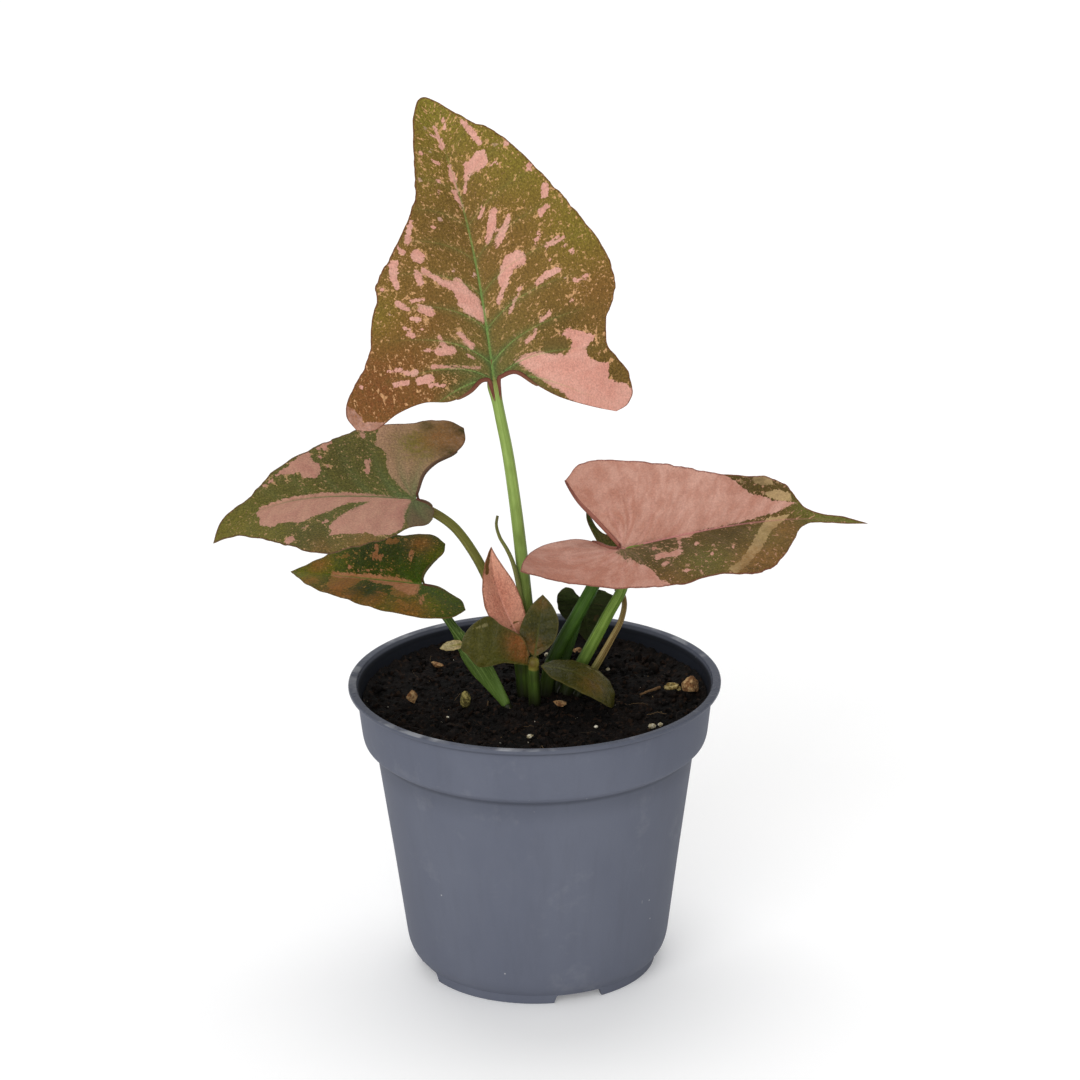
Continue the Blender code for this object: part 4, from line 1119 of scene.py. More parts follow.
UPRIGHT = Leaf(
    "upright_leaf", "leaf_olive", OLIVE_PINK, (-11.6, 6.0, 196.4), 118, 75, -13, 93, 42, 42,
    fold=((12, 8), (17, 12), (22, 12)), curl=((10, 20), (14, 18), (10, 20)),
    left=(
        (92.8, 0), (92, 2), (86.5, 6.6), (74, 12), (63, 15.6), (54, 22), (44, 30), (37.5, 35.2),
        (33, 35.6), (27, 38), (15, 41), (4, 48), (-3, 50.6), (-8, 48)),
    left_sinus=((-9, 42), (-5, 34), (-3, 25), (-4, 16), (-2, 9), (1, 4)),
    right=(
        (92.8, 0), (92.5, -1.2), (90.2, -3.4), (85.4, -6.8), (80, -11.2), (74.8, -17), (58, -28),
        (44, -36.4), (34, -42), (23, -43), (14, -39), (6, -38), (2, -40.4), (-5, -44.4), (-10, -45),
        (-14, -42.6), (-15.6, -38.4)),
    right_sinus=((-13, -31), (-8, -20), (-3, -13), (2, -7), (1, -2)),
    droop=14, lobe_rise=8, sweep=18, rows=170, columns=60, sheet=0.5, rib_height=1.3, rib_width=0.9,
    veins=8.5, ruffle=0.55, quilt=0.22,
    pink=Marks(
        strokes=(
            (82.8, 0.3, 76, 0.3, 0.5, 0.9), (80.3, 2.3, 79.5, 1, 0.5, 0.6),
            (83.8, -3.6, 81, -2.8, 0.4, 0.6), (80.5, -8.8, 77, -10, 0.8, 1.0),
            (77, -10, 73, -11.2, 1.1, 0.8), (66, -4.5, 60.3, -2.0, 0.8, 0.4),
            (69.6, 0.2, 65, 0.6, 0.4, 1.2), (65, 0.5, 61, 0.2, 0.6, 0.3),
            (61, 1.6, 55.5, 0.1, 1.0, 0.3), (72.8, 6, 71.5, 4, 0.4, 0.6),
            (76, 8.6, 76.1, 8.3, 0.6, 0.6), (62.5, 7.2, 62.6, 7, 0.6, 0.5),
            (65.8, 5.8, 65.6, 5.5, 0.6, 0.6), (52.5, 12.6, 52, 12, 0.5, 0.5),
            (55.5, 19.5, 49.5, 22, 0.7, 1.1), (48, 25.5, 46, 24, 0.6, 0.9),
            (44.6, 20, 43.3, 19, 1.9, 1.7), (43, 28, 39, 29, 1.5, 1.3),
            (39, 29, 35, 28.5, 1.2, 0.8), (35.2, 33.5, 35, 33, 0.7, 0.6),
            (38.5, 20.8, 35.5, 20.5, 1.2, 1.2), (39, 18.8, 34.5, 13.6, 0.7, 1.1),
            (34.5, 13.6, 31.5, 9.5, 1.2, 1.4), (30.5, 29.5, 27.5, 26, 0.8, 0.9),
            (30, 24.5, 30, 20.5, 0.6, 0.7), (27, 21.5, 25.5, 19, 1.3, 1.6),
            (24.3, 25.2, 23.6, 22.8, 0.7, 0.7), (20, 27, 18.5, 25.8, 0.8, 0.7),
            (19.5, 24.5, 20, 22.5, 0.4, 0.5), (21.7, 28.2, 21.6, 27.8, 0.5, 0.5),
            (17.2, 10.2, 12, 6.3, 0.7, 1.2), (12.5, 18, 12, 13.5, 1.4, 1.5),
            (17.5, 17.2, 13, 15, 0.4, 1.2), (13.7, 22.5, 13.5, 21, 0.4, 0.4),
            (9.4, 8, 8.4, 6.5, 0.5, 0.6), (8, 20.5, 6.3, 12, 0.6, 0.45),
            (6.3, 12, 5, 4.5, 0.45, 0.4), (7.2, 30, 6.8, 26.8, 0.7, 1.1),
            (9, 36, 8.7, 31.5, 0.4, 0.5), (4.1, 25.6, 4.3, 21.8, 1.2, 1.4),
            (4.3, 33.8, 4.3, 29.8, 0.7, 0.8), (2.2, 22, 1.5, 17.5, 0.4, 0.5),
            (5.6, 45, 5.2, 44.6, 0.5, 0.5), (54, -6, 51.5, -4.4, 0.5, 0.7),
            (52.3, -9.2, 47, -7, 1.1, 1.4), (47, -7, 43.5, -4.8, 1.2, 0.7),
            (49.8, -13.6, 45, -10, 0.5, 1.2), (45, -10, 41.8, -7.5, 1.2, 0.7),
            (30, -8, 24.2, -4.8, 1.0, 0.6), (31, -25.5, 30, -21, 0.9, 1.2),
            (30, -21, 28, -18, 1.1, 0.6), (40.5, -29, 38.7, -23.3, 0.5, 0.8),
            (42.5, -21.5, 40, -19.8, 0.6, 0.5), (50, -26, 48.3, -23.2, 0.7, 0.7),
            (55.5, -27, 53, -26, 1.2, 0.9), (62.3, -24, 61.8, -23.8, 0.9, 0.8),
            (70.5, -19.4, 70.1, -19.2, 0.7, 0.6), (66, -14.2, 65.9, -12.8, 0.4, 0.5),
            (27.5, -34, 27, -30, 0.7, 0.6), (35.8, -30.8, 35.5, -30.5, 0.6, 0.6),
            (37.8, -29.5, 37.6, -29.3, 0.5, 0.5), (34.5, -24, 34.2, -23.4, 0.5, 0.6),
            (21.5, -28, 21.4, -27.6, 0.5, 0.5), (18.5, -20.5, 17, -17.5, 0.6, 0.7),
            (29, -13.5, 24.5, -10.3, 0.25, 0.35), (24.5, -10.3, 21, -8, 0.4, 0.5),
            (14, -15.2, 12.3, -14.5, 0.4, 0.6), (12, -14, 10.8, -12, 0.7, 0.7)),
        fields=(
            ((71, -9.5), (70.8, -12), (67, -12), (65.5, -10.5), (65, -6), (64.3, -4.5),
             (66.5, -3.6), (68.5, -4.5), (69.5, -7)),
            ((34.5, 9), (34.3, 7), (31, 4.5), (26.5, 1.5), (23, -0.2), (18.3, -0.3), (20, 3),
             (22, 6), (25.5, 8.8), (28, 9.3), (31, 10)),
            ((39, -12), (39.5, -13), (38.5, -15.5), (36, -16), (34.5, -15), (33.5, -11.5),
             (30.5, -9), (29.5, -6), (31.5, -6), (35, -7.5), (38, -9.5)),
            ((5.2, -7.1), (7, -10.3), (7.5, -13.9), (7, -17.5), (5.9, -20.3), (5.2, -24.8),
             (7.5, -25.9), (9.3, -26.6), (11.1, -23.5), (12, -22.5), (12.9, -25.3), (11.5, -30.3),
             (9.3, -33.9), (7.5, -32.5), (5.6, -30.3), (2.5, -31.6), (1.1, -33.9), (0.2, -37.5),
             (-4.8, -36.9), (-7.1, -42.1), (-9.4, -46), (-14, -45), (-18, -39), (-12, -27),
             (-6.5, -20.5), (-4, -18), (-1, -14), (2.5, -10.7)))),
    cream=Marks(
        strokes=(
            (83.4, 3.6, 83.2, 3.2, 0.6, 0.6), (76, 5, 75.8, 4.8, 0.5, 0.5),
            (54, 9.2, 53.8, 9, 0.5, 0.5), (67.9, 12, 67.8, 11.8, 0.4, 0.4),
            (71, -15, 70.6, -16.5, 0.4, 0.4), (37, 8.4, 36.9, 8.2, 0.6, 0.5),
            (34.6, 1.7, 34.4, 1.5, 0.4, 0.6), (26.8, 32, 26.7, 31.8, 0.6, 0.6),
            (28.3, -27, 28.2, -26.6, 0.4, 0.4), (24, 42, 23, 42, 0.5, 0.5)),
        fields=(
            ((0.5, 51), (-2.5, 46.8), (-6, 45.5), (-7, 38.5), (-9.5, 38), (-12, 46), (-6, 54)),)),
    dark=Marks(
        fields=(
            ((10.4, -17), (10.8, -24), (7.4, -25.4), (5.8, -21.6), (6.4, -17)),
            ((1.4, -9.4), (2.6, -6), (0.6, -6.6), (-9, -21.6), (-7.6, -22), (-3.4, -15)))),
    fresh=(
        (88, 0, 12, 0.9), (64, -22, 16, 0.75), (42, -36, 14, 0.7), (70, 10, 10, 0.35),
        (26, 36, 9, 0.7), (80, -12, 10, 0.5)),
    warm=(
        (2, 40, 18, 0.85), (24, -38, 10, 0.35), (20, 22, 14, 0.35), (-2, 22, 10, 0.5),
        (46, -14, 14, 0.25)),
    deep=((4, 14, 6, 0.7), (14, -24, 8, 0.5), (52, 6, 12, 0.3), (-4, -34, 12, 0.6)))

LEFT = Leaf(
    "left_leaf", "leaf_olive", DARK_PINK, (-37.2, 10.0, 155.7), 188, 7, -14, 69, 30, 34,
    fold=((4, 22), (10, 24), (20, 18)), curl=((10, 10), (18, 16), (20, 20)),
    left=(
        (69, 0), (62, 6.2), (57, 13.4), (52, 20), (44, 28), (37, 31), (28, 30), (16, 27), (9, 23),
        (4, 18.5), (-1, 17), (-4, 13)),
    left_sinus=((-5, 7), (-4, 3)),
    right=(
        (69, 0), (62, -4), (52, -6), (42, -13), (29, -20), (17, -27), (8, -30), (-3, -33),
        (-11, -34), (-17, -31)),
    right_sinus=((-17, -25), (-14, -20), (-7, -15), (-3, -10), (-1, -4)),
    droop=48, droop_power=2.6, lobe_rise=-6, sweep=26, twist=(0, -6), rows=130, columns=48,
    rib_height=1.1, veins=7.5, ruffle=0.35, quilt=0.2,
    pink=Marks(
        strokes=(
            (47.5, 22.8, 46.5, 22.2, 1.4, 1.5), (33, 15.8, 31.5, 14.8, 0.5, 0.6),
            (47, -7.8, 44, -9, 0.3, 0.4), (29, -18.5, 25.5, -21.5, 0.6, 0.7),
            (27.4, -18.9, 27, -18.3, 0.8, 0.6), (28.8, -15.5, 28.4, -15.2, 0.5, 0.4),
            (27.4, -11.6, 27.2, -11.2, 0.4, 0.4), (15.2, -9, 14.8, -13.5, 0.5, 1.0),
            (15.6, -24, 15.8, -28, 0.5, 0.8), (41, 17.5, 38.5, 16.8, 0.25, 0.3)),
        fields=(
            ((52.9, 9.5), (53.3, 7.7), (52.4, 6.3), (52.4, 1.3), (50.6, -1), (47, -1.4), (22, -1.4),
             (11, -0.8), (2.4, 0), (1.6, 2.7), (4.1, 8.4), (5.4, 15.6), (6.6, 20), (10.6, 23),
             (16.3, 24.1), (19, 22.7), (28.4, 22.7), (32, 22.4), (30.6, 20), (31.3, 17.7),
             (29.1, 15.6), (25.6, 12.4), (18.8, 6.3), (15.6, 4.1), (22, 5.1), (29.1, 9.1),
             (37.7, 13.4), (41.3, 14.1), (43.4, 13.4), (47.4, 11.6), (50.6, 12.4)),
            ((43.4, -10.1), (31.6, -18.5), (31.6, -15.5), (31.3, -13.7), (29.1, -13), (29.5, -8.7),
             (31.3, -7.3), (34.9, -7.6), (35.6, -9.8), (39.9, -10.5)))),
    cream=Marks(
        fields=(
            ((1, -0.5), (5, -4), (8, -8.5), (9, -13), (9, -17.5), (12, -21), (11.3, -25.5),
             (10, -32), (-4, -36), (-20, -34), (-19, -24), (-13, -18), (-6, -12), (-2, -8),
             (-1, -3)),)),
    dark=Marks(
        fields=(
            ((1.2, 1.6), (2.6, 5), (3.8, 10), (4.6, 14), (4, 19), (-3, 20), (-7, 13), (-7, 6),
             (-3, 1.5)),)),
    fresh=((62, 4, 12, 0.8), (52, 16, 8, 0.5), (-2, -22, 8, 0.95), (-8, -28, 6, 0.7)),
    warm=(
        (20, 27, 7, 0.5), (36, 29, 6, 0.4), (-10, -25, 7, 1.1), (-15, -30, 6, 0.9), (-2, 12, 7, 1.0)),
    deep=(
        (24, -12, 12, 0.4), (40, 22, 10, 0.3), (0, 11, 8, 0.9), (-17, -31, 5, 0.95),
        (-12, -19, 4, 0.8), (-5, -31, 3, 0.6)))

SMALL_LEFT = Leaf(
    "small_left_leaf", "leaf_dark_green", DEEP_GREEN, (-35.9, 12.0, 125.8), 173, 4, -12, 45, 20, 24,
    fold=((6, 20), (8, 20), (14, 14)), curl=((10, 10), (14, 14), (16, 16)),
    left=(
        (45, 0), (40, 4), (34, 9), (28, 12), (21, 14), (11, 18), (2, 20), (-6, 20), (-13, 18),
        (-16, 13)),
    left_sinus=((-14, 8), (-10, 5), (-5, 1)),
    right=((45, 0), (39, -5), (32, -11), (24, -16), (17, -19), (8, -21), (0, -22), (-5, -18)),
    right_sinus=((-5, -14), (-2, -9), (0, -4)),
    droop=16, lobe_rise=-6, sweep=-24, twist=(0, -4), rows=96, columns=36, rib_height=0.9,
    veins=6.5, ruffle=0.35, quilt=0.18,
    pink=Marks(
        strokes=(
            (17, -8, 17.6, -14, 0.7, 0.8), (15.5, -9.5, 15.4, -8.6, 1.1, 0.8),
            (5.5, -8.5, 5, -13, 0.3, 0.6), (-1.6, 13, -1.2, 8, 0.4, 0.6),
            (25, -4, 24.6, -3.6, 0.5, 0.4), (21, -3, 16, -3.8, 0.3, 0.2),
            (14, -4, 11, -4.6, 0.3, 0.25)),
        fields=(
            ((0.3, 0), (0.2, 5.5), (0.6, 8), (3, 8.6), (5, 7.4), (8, 5), (11.5, 3), (15, 2.6),
             (18, 0.8), (22, 0.9), (26, 1.4), (30, 0.8), (30, -1.6), (24, -1.4), (18, -1.8),
             (10, -1.8), (4.5, -1.1)),)),
    cream=Marks(
        strokes=(
            (5.5, 13, 3, 15, 0.9, 1.2), (14, 8, 10, 9.6, 0.3, 0.5), (38, 2, 34, 4, 0.3, 0.6),
            (30, -8, 27, -8.5, 0.5, 0.9), (13.5, -16.5, 11, -17.5, 1.2, 1.0)),
        fields=(
            ((29.5, 0), (29.5, 5), (28.5, 8), (26.5, 10), (23.5, 9.5), (21.2, 7), (19.8, 2.6),
             (20, 0)),
            ((9, 4.6), (9.6, 8), (6, 10.4), (2, 10), (0.4, 8), (3, 5.4)))),
    fresh=((39, 3, 8, 0.9), (8, 17, 6, 0.5), (-3, -12, 5, 0.5), (31, -5, 6, 0.6), (-4, 12, 6, 0.5)),
    warm=(
        (24, 12, 6, 0.8), (3, -17, 4, 0.8), (36, -4, 4, 0.7), (2, 17, 6, 0.8), (14, 13, 5, 0.7),
        (35, 6, 3, 0.7)),
    deep=((16, 7, 4, 0.8), (20, -10, 7, 0.6), (8, -14, 5, 0.4)))

RIGHT = Leaf(
    "right_leaf", "leaf_pink", DUSTY_PINK, (28.4, 0.0, 141.5), 4, 12, 10, 80, 34, 34,
    fold=((44, 4), (44, 4), (34, -14)), curl=((16, 10), (16, 18), (40, 40)),
    left=(
        (80, 0), (72, 1.4), (64, 2.2), (59, 5), (55, 12), (50, 15.5), (41, 16.8), (33, 19),
        (24, 23.2), (14, 27.2), (0, 32), (-8, 31.8), (-15.2, 27)),
    left_sinus=((-11, 19), (-7, 13), (-3, 6)),
    right=(
        (80, 0), (72, -1.4), (63, -1.6), (58.5, -3), (55, -9), (49.8, -18), (43.5, -24.6),
        (35, -27), (27, -26), (15, -27), (3, -25), (-7, -21.4), (-19, -16.2), (-29, -14.2),
        (-36, -16)),
    right_sinus=((-33, -6), (-27, 6), (-20, 13), (-14, 15), (-8, 10), (-4, 3)),
    droop=26, lobe_rise=44, rows=150, columns=52, rib_height=1.1, veins=8.0, ruffle=0.3, quilt=0.16,
    pink=Marks(
        strokes=(
            (18.3, -1.5, 18, -12.5, 0.6, 0.45), (12, -15.3, 12.2, -14.9, 1.1, 1.0),
            (10, -5, 9.8, -4.6, 0.8, 0.7), (18.4, -21.2, 18.2, -20.8, 0.8, 0.7),
            (28.4, -10.3, 28.2, -9.8, 0.5, 0.5), (34.7, -12, 34.4, -13.4, 0.3, 0.4),
            (23.4, -8, 23.2, -7.6, 0.7, 0.7), (27.5, -15.4, 27.3, -15, 0.6, 0.5),
            (42, -0.8, 41.9, -0.5, 0.3, 0.3), (22.5, -23, 22.3, -22.7, 0.5, 0.4),
            (22, -14, 21.8, -13.6, 0.3, 0.3), (3, -11, 1, -8, 0.4, 0.8)),
        fields=(
            ((57, 5.8), (50.2, 7), (45.6, 9.3), (43.8, 9.7), (36.5, 17.5), (37, 22), (20, 30),
             (0, 36), (-18, 32), (-18, 22), (-6, -2), (-0.5, 0), (5, 0.2), (12, 0.2), (15, 0),
             (17, -0.6), (20, -2.7), (21.5, -3), (23.6, -1), (24, 0.2), (30, 0.3), (40, 0.8),
             (50, 2.6)),
            ((-0.5, 0), (-2, -2), (-0.9, -4), (0, -8.5), (3.8, -12), (6.5, -14), (8.3, -19.4),
             (9.3, -23), (15, -30), (0, -30), (-20, -22), (-40, -16), (-38, -4), (-28, 12),
             (-14, 20), (-6, 12), (-2, 4)),
            ((18, -8), (17.8, -13), (15.5, -12.5), (12, -11.5), (9.5, -12.5), (9.5, -9), (12, -8),
             (14, -9.5), (16.5, -9.5)))),
    cream=Marks(
        strokes=(
            (43, 16.2, 41.6, 16.8, 0.5, 0.4), (41.8, 13.8, 40.8, 14.8, 0.3, 0.4),
            (53, 13, 52.2, 13.8, 0.4, 0.4)),
        fields=(
            ((50.4, 15.4), (45.6, 17.4), (44.4, 14.6), (46.6, 12.4), (50.8, 12.8)),
            ((56, 8.6), (52, 11), (48.6, 10.2), (47, 9.4), (50, 7.4), (55.4, 6)),
            # This field is a painted highlight: a cream band where the near half turns down over a
            # fold.
            ((55, 2), (47, 1), (44, -4.5), (39.5, -14), (36, -20), (31, -24.5), (33, -27),
             (38, -22), (43, -15), (48, -5), (52, -1)))),
    fresh=(
        (30, -20, 8, 0.35), (46, -8, 6, 0.4), (22, -16, 8, 0.3), (66, 0, 7, 0.85), (76, 0, 8, 0.95),
        (58, 4, 4, 0.5)),
    warm=((44, -20, 9, 0.7), (12, -24, 6, 0.6), (52, -6, 6, 0.6), (38, -25, 6, 0.6)),
    # The washes at (-22, -10) and (-8, -20) are painted shade, darkening the near basal lobe and the
    # pink on it.
    deep=(
        (12, -4, 9, 0.7), (34, -5, 8, 0.5), (40, -26, 4, 0.6), (0, 14, 14, 0.45), (-10, 25, 7, 0.5),
        (6, -22, 9, 0.35), (-22, -10, 15, 1.0), (-8, -20, 12, 0.8), (44, 14, 8, 0.6)))

INNER = Leaf(
    "inner_leaf", "leaf_dark_green", DULL_GREEN, (24.2, 12.0, 134.0), 18, -4, 6, 36, 16, 14,
    fold=((80, -6), (46, -10), (20, -10)), curl=((6, 10), (20, 20), (20, 30)),
    left=(
        (36, 0), (27, 7), (18, 11), (11, 11.5), (5, 9), (0.5, 7.6), (-3, 10), (-5, 13.4), (-6.5, 17)),
    left_sinus=((-6.9, 13), (-5.4, 9), (-2.6, 4)),
    right=((36, 0), (27, -4.5), (18, -7), (8, -8), (-2, -8), (-8, -7)),
    right_sinus=((-7, -4), (-3, -2)),
    droop=34, rows=60, columns=24, sheet=0.4, rib_height=0.8, rib_width=0.7, veins=6.0, collar=0.0,
    ruffle=0.25, quilt=0.12,
    warm=((1, 4.5, 5, 1.1), (10, 6, 10, 0.4)),
    deep=((-5, 14, 4, 0.4),))

BACK = Leaf(
    "back_leaf", "leaf_dark_green", DULL_GREEN, (15.8, 21.5, 116.4), 86, -36, 0, 34, 14, 12,
    fold=((6, 6), (10, 10), (12, 12)), curl=((20, 20), (20, 20), (20, 20)),
    left=((34, 0), (26, 5), (17, 8.2), (7, 8.6), (-3, 8), (-9.5, 6.6), (-13, 4.6)),
    left_sinus=((-12, 2.8), (-5, 1.6)),
    right=((34, 0), (26, -5), (17, -9), (7, -10.5), (-4, -10.5), (-11, -8)),
    right_sinus=((-11, -4), (-5, -2)),
    droop=30, rows=60, columns=24, sheet=0.4, rib_height=0.8, rib_width=0.7, veins=6.0, collar=0.0,
    ruffle=0.25, quilt=0.12,
    pink=Marks(
        strokes=((16, 4, 12, 2.4, 0.4, 0.7), (22, -3, 18, -4, 0.5, 0.7), (8, -6, 6, -4, 0.5, 0.8))),
    fresh=((-4, 6, 8, 0.6),),
    deep=((14, 0, 10, 0.5),))

PINK_YOUNG = Leaf(
    "pink_young_leaf", "leaf_pink", SALMON, (-1.5, -3.5, 106.6), 165, 60, -50, 38, 3, 10,
    fold=((22, 22), (22, 22), (30, 30)), curl=((10, 10), (10, 10), (20, 20)),
    left=((38, 0), (35, 2), (31, 4), (26, 6), (20, 7), (14, 6.4), (7, 4), (2, 1.5), (0, 0)),
    right=(
        (38, 0), (35, -1.6), (31, -3.6), (26, -5.5), (20, -6.2), (14, -5.6), (8, -4.2), (3, -2.2),
        (0, 0)),
    sweep=-34, rows=76, columns=26, sheet=0.4, rib_height=0.6, rib_width=0.6, veins=8.0, collar=0.0,
    ruffle=0.2, quilt=0.1,
    dark=Marks(
        strokes=(
            (37, 1.0, 30, 3.0, 0.8, 0.7), (11.4, 1.0, 12.1, -1.2, 0.14, 0.18),
            (12.1, -1.2, 11.2, -3.4, 0.18, 0.12))),
    warm=((3, 0, 7, 0.95), (8, -3, 4, 0.5), (30, 4, 4, 0.5)),
    deep=((18, 3, 8, 0.6), (26, -1, 4, 0.4), (20, -1, 5, 0.4)))

LOW_LEFT = Leaf(
    "low_left_leaf", "leaf_olive", CLEAR_OLIVE, (-2.2, -6.3, 104.4), 196, 20, -86, 23, 3, 12,
    fold=((0, 0), (0, 0), (0, 0)), curl=((10, 8), (10, 8), (10, 8)),
    left=(
        (23, 0), (22.2, 0.5), (20, 1.6), (17.5, 3.4), (15, 4.2), (12, 3), (8, 1), (4, 0.4), (0, 0)),
    right=(
        (23, 0), (23.2, -4), (21.4, -8.8), (17, -12.4), (12, -10.6), (8, -9.8), (4.6, -8.6),
        (1.8, -5.6), (0.3, -2.4), (0, 0)),
    droop=14, droop_power=1.6, rows=64, columns=26, sheet=0.35, rib_height=0.4, rib_width=0.6,
    veins=5.0, collar=0.0, ruffle=0.35, quilt=0.12,
    cream=Marks(strokes=((21.5, -7, 17, -9.6, 0.2, 0.5), (21, 4.6, 16, 7.6, 0.2, 0.3))),
    fresh=((12, 2, 6, 0.6), (18, -3, 5, 0.5)),
    warm=((5.5, -7, 4, 1.0), (3, -3, 3.5, 0.8)))

LOW_BACK = Leaf(
    "low_back_leaf", "leaf_olive", CLEAR_OLIVE, (0.15, -5.3, 106.75), 60, 74, 33, 20.5, 3, 8,
    fold=((2, 12), (4, 12), (6, 12)), curl=((8, 10), (8, 10), (10, 10)),
    left=((20.5, 0), (17, 3), (12, 5.2), (8, 5.9), (4, 4.8), (1.5, 2.1), (0, 0)),
    right=((20.5, 0), (17.5, -3.4), (13, -6), (9, -6.2), (5, -5), (1.5, -1.8), (0, 0)),
    rows=56, columns=20, sheet=0.35, rib_height=0.4, rib_width=0.6, veins=5.0, collar=0.0,
    ruffle=0.2, quilt=0.1,
    fresh=((16, 1, 4, 0.4),),
    warm=((3, 1, 4, 0.7), (18, 0, 3, 0.3)),
    deep=((9, -1, 6, 0.7),))

LOW_RIGHT = Leaf(
    "low_right_leaf", "leaf_olive", CLEAR_OLIVE, (2.1, -4.6, 103.7), -18, -3, 20, 30, 3, 10,
    fold=((-10, 10), (-10, 10), (0, 10)), curl=((10, 30), (10, 30), (10, 20)),
    left=((30, 0), (27, 3), (22, 5), (17, 6), (11, 6.6), (5, 5.6), (1.5, 3), (0, 0)),
    right=((30, 0), (28, -3.4), (24, -6), (18, -7.4), (12, -6.8), (6, -5.4), (2, -2.6), (0, 0)),
    droop=92, droop_power=2.2, rows=70, columns=22, sheet=0.35, rib_height=0.4, rib_width=0.6,
    veins=6.0, collar=0.0, ruffle=0.25, quilt=0.12,
    cream=Marks(strokes=((27, -5.2, 24.5, -5.6, 0.3, 0.4), (20, 4.4, 14, 5, 0.4, 0.3))),
    fresh=((22, 0, 7, 0.8),),
    warm=((18, -2, 5, 0.3),),
    deep=((5, -3, 6, 0.6), (10, -5, 5, 0.5)))

BRACT = Leaf(
    "dry_bract", "dry_straw", STRAW_LEAF, (-22.6, 5.6, 107.6), 190, -8, -30, 8, 2, 4,
    fold=((10, 10), (10, 10), (10, 10)), curl=((10, 10), (10, 10), (10, 10)),
    left=((8, 0), (6, 1.6), (3, 2), (1, 1.4), (0, 0)),
    right=((8, 0), (6, -1.6), (3, -2), (1, -1.4), (0, 0)),
    rows=30, columns=10, sheet=0.35, rib_height=0.3, rib_width=0.4, veins=4.0, collar=0.0,
    ruffle=0.2, quilt=0.08,
    warm=((1, 0, 3, 0.7),),
    deep=((6.5, 1.2, 2, 0.5),))

LEAVES = (UPRIGHT, LEFT, SMALL_LEFT, RIGHT, INNER, BACK, PINK_YOUNG, LOW_LEFT, LOW_BACK,
          LOW_RIGHT, BRACT)


# ------------------------------------------------------------------------------ stalks

@dataclass(frozen=True)
class StalkFinish(Finish):
    """The finish of a stalk.

    main is its colour, pale and dark the streaks along it, top and foot the tints it takes on
    over its first and last parts, and specks the share of it that carries small flecks.
    """

    main: Colour
    pale: Colour
    dark: Colour
    top: Colour
    foot: Colour
    top_reach: float = 0.12
    foot_reach: float = 0.35
    streaks: float = 0.5
    specks: float = 0.2
    roughness: float = 0.42

    def material(self, name: str) -> bpy.types.Material:
        """The stalk's material, drawn out along its length.

        Args:
            name: the material's name.

        Returns:
            The material.
        """
        g = Graph(name, Specular_IOR_Level=0.12)
        coil = g.vector("coil")
        share = g.value("share")
        long_lines = g.noise(g.stretch(coil, (4.5, 4.5, 0.10)), 1.4, 3.0, 0.62)
        hairs = g.noise(g.stretch(coil, (11.0, 11.0, 0.22)), 1.6, 2.0)
        blotch = g.noise(g.stretch(coil, (0.7, 0.7, 1.2)), 1.3, 3.0)
        colour = g.mix(long_lines.step(0.48, 0.66) * self.streaks, self.main, self.pale)
        colour = g.mix(hairs.step(0.47, 0.30) * self.streaks, colour, self.dark)
        colour = g.mix((blotch - 0.42).clip() * 1.1, colour, self.dark)
        colour = g.mix((share + (blotch - 0.5) * 0.2).step(self.top_reach, 0.0) * 0.85, colour,
                       self.top)
        colour = g.mix((share + (blotch - 0.5) * 0.2).step(1.0 - self.foot_reach, 1.0) * 0.85,
                       colour, self.foot)
        away, pick = g.cells(g.stretch(coil, (1.2, 1.2, 3.2)), 4.0)
        flecks = away.step(0.20, 0.08) * pick.step(1.0 - self.specks, 1.02 - self.specks)
        colour = g.mix(flecks * 0.55, colour, self.pale)
        height = long_lines * 0.6 + hairs * 0.5
        rough = self.roughness + (blotch - 0.5) * 0.14 + (hairs - 0.5) * 0.1
        return g.finish(g.shade(colour, 0.86 + hairs * 0.28), rough, g.bump(height, 0.00016))


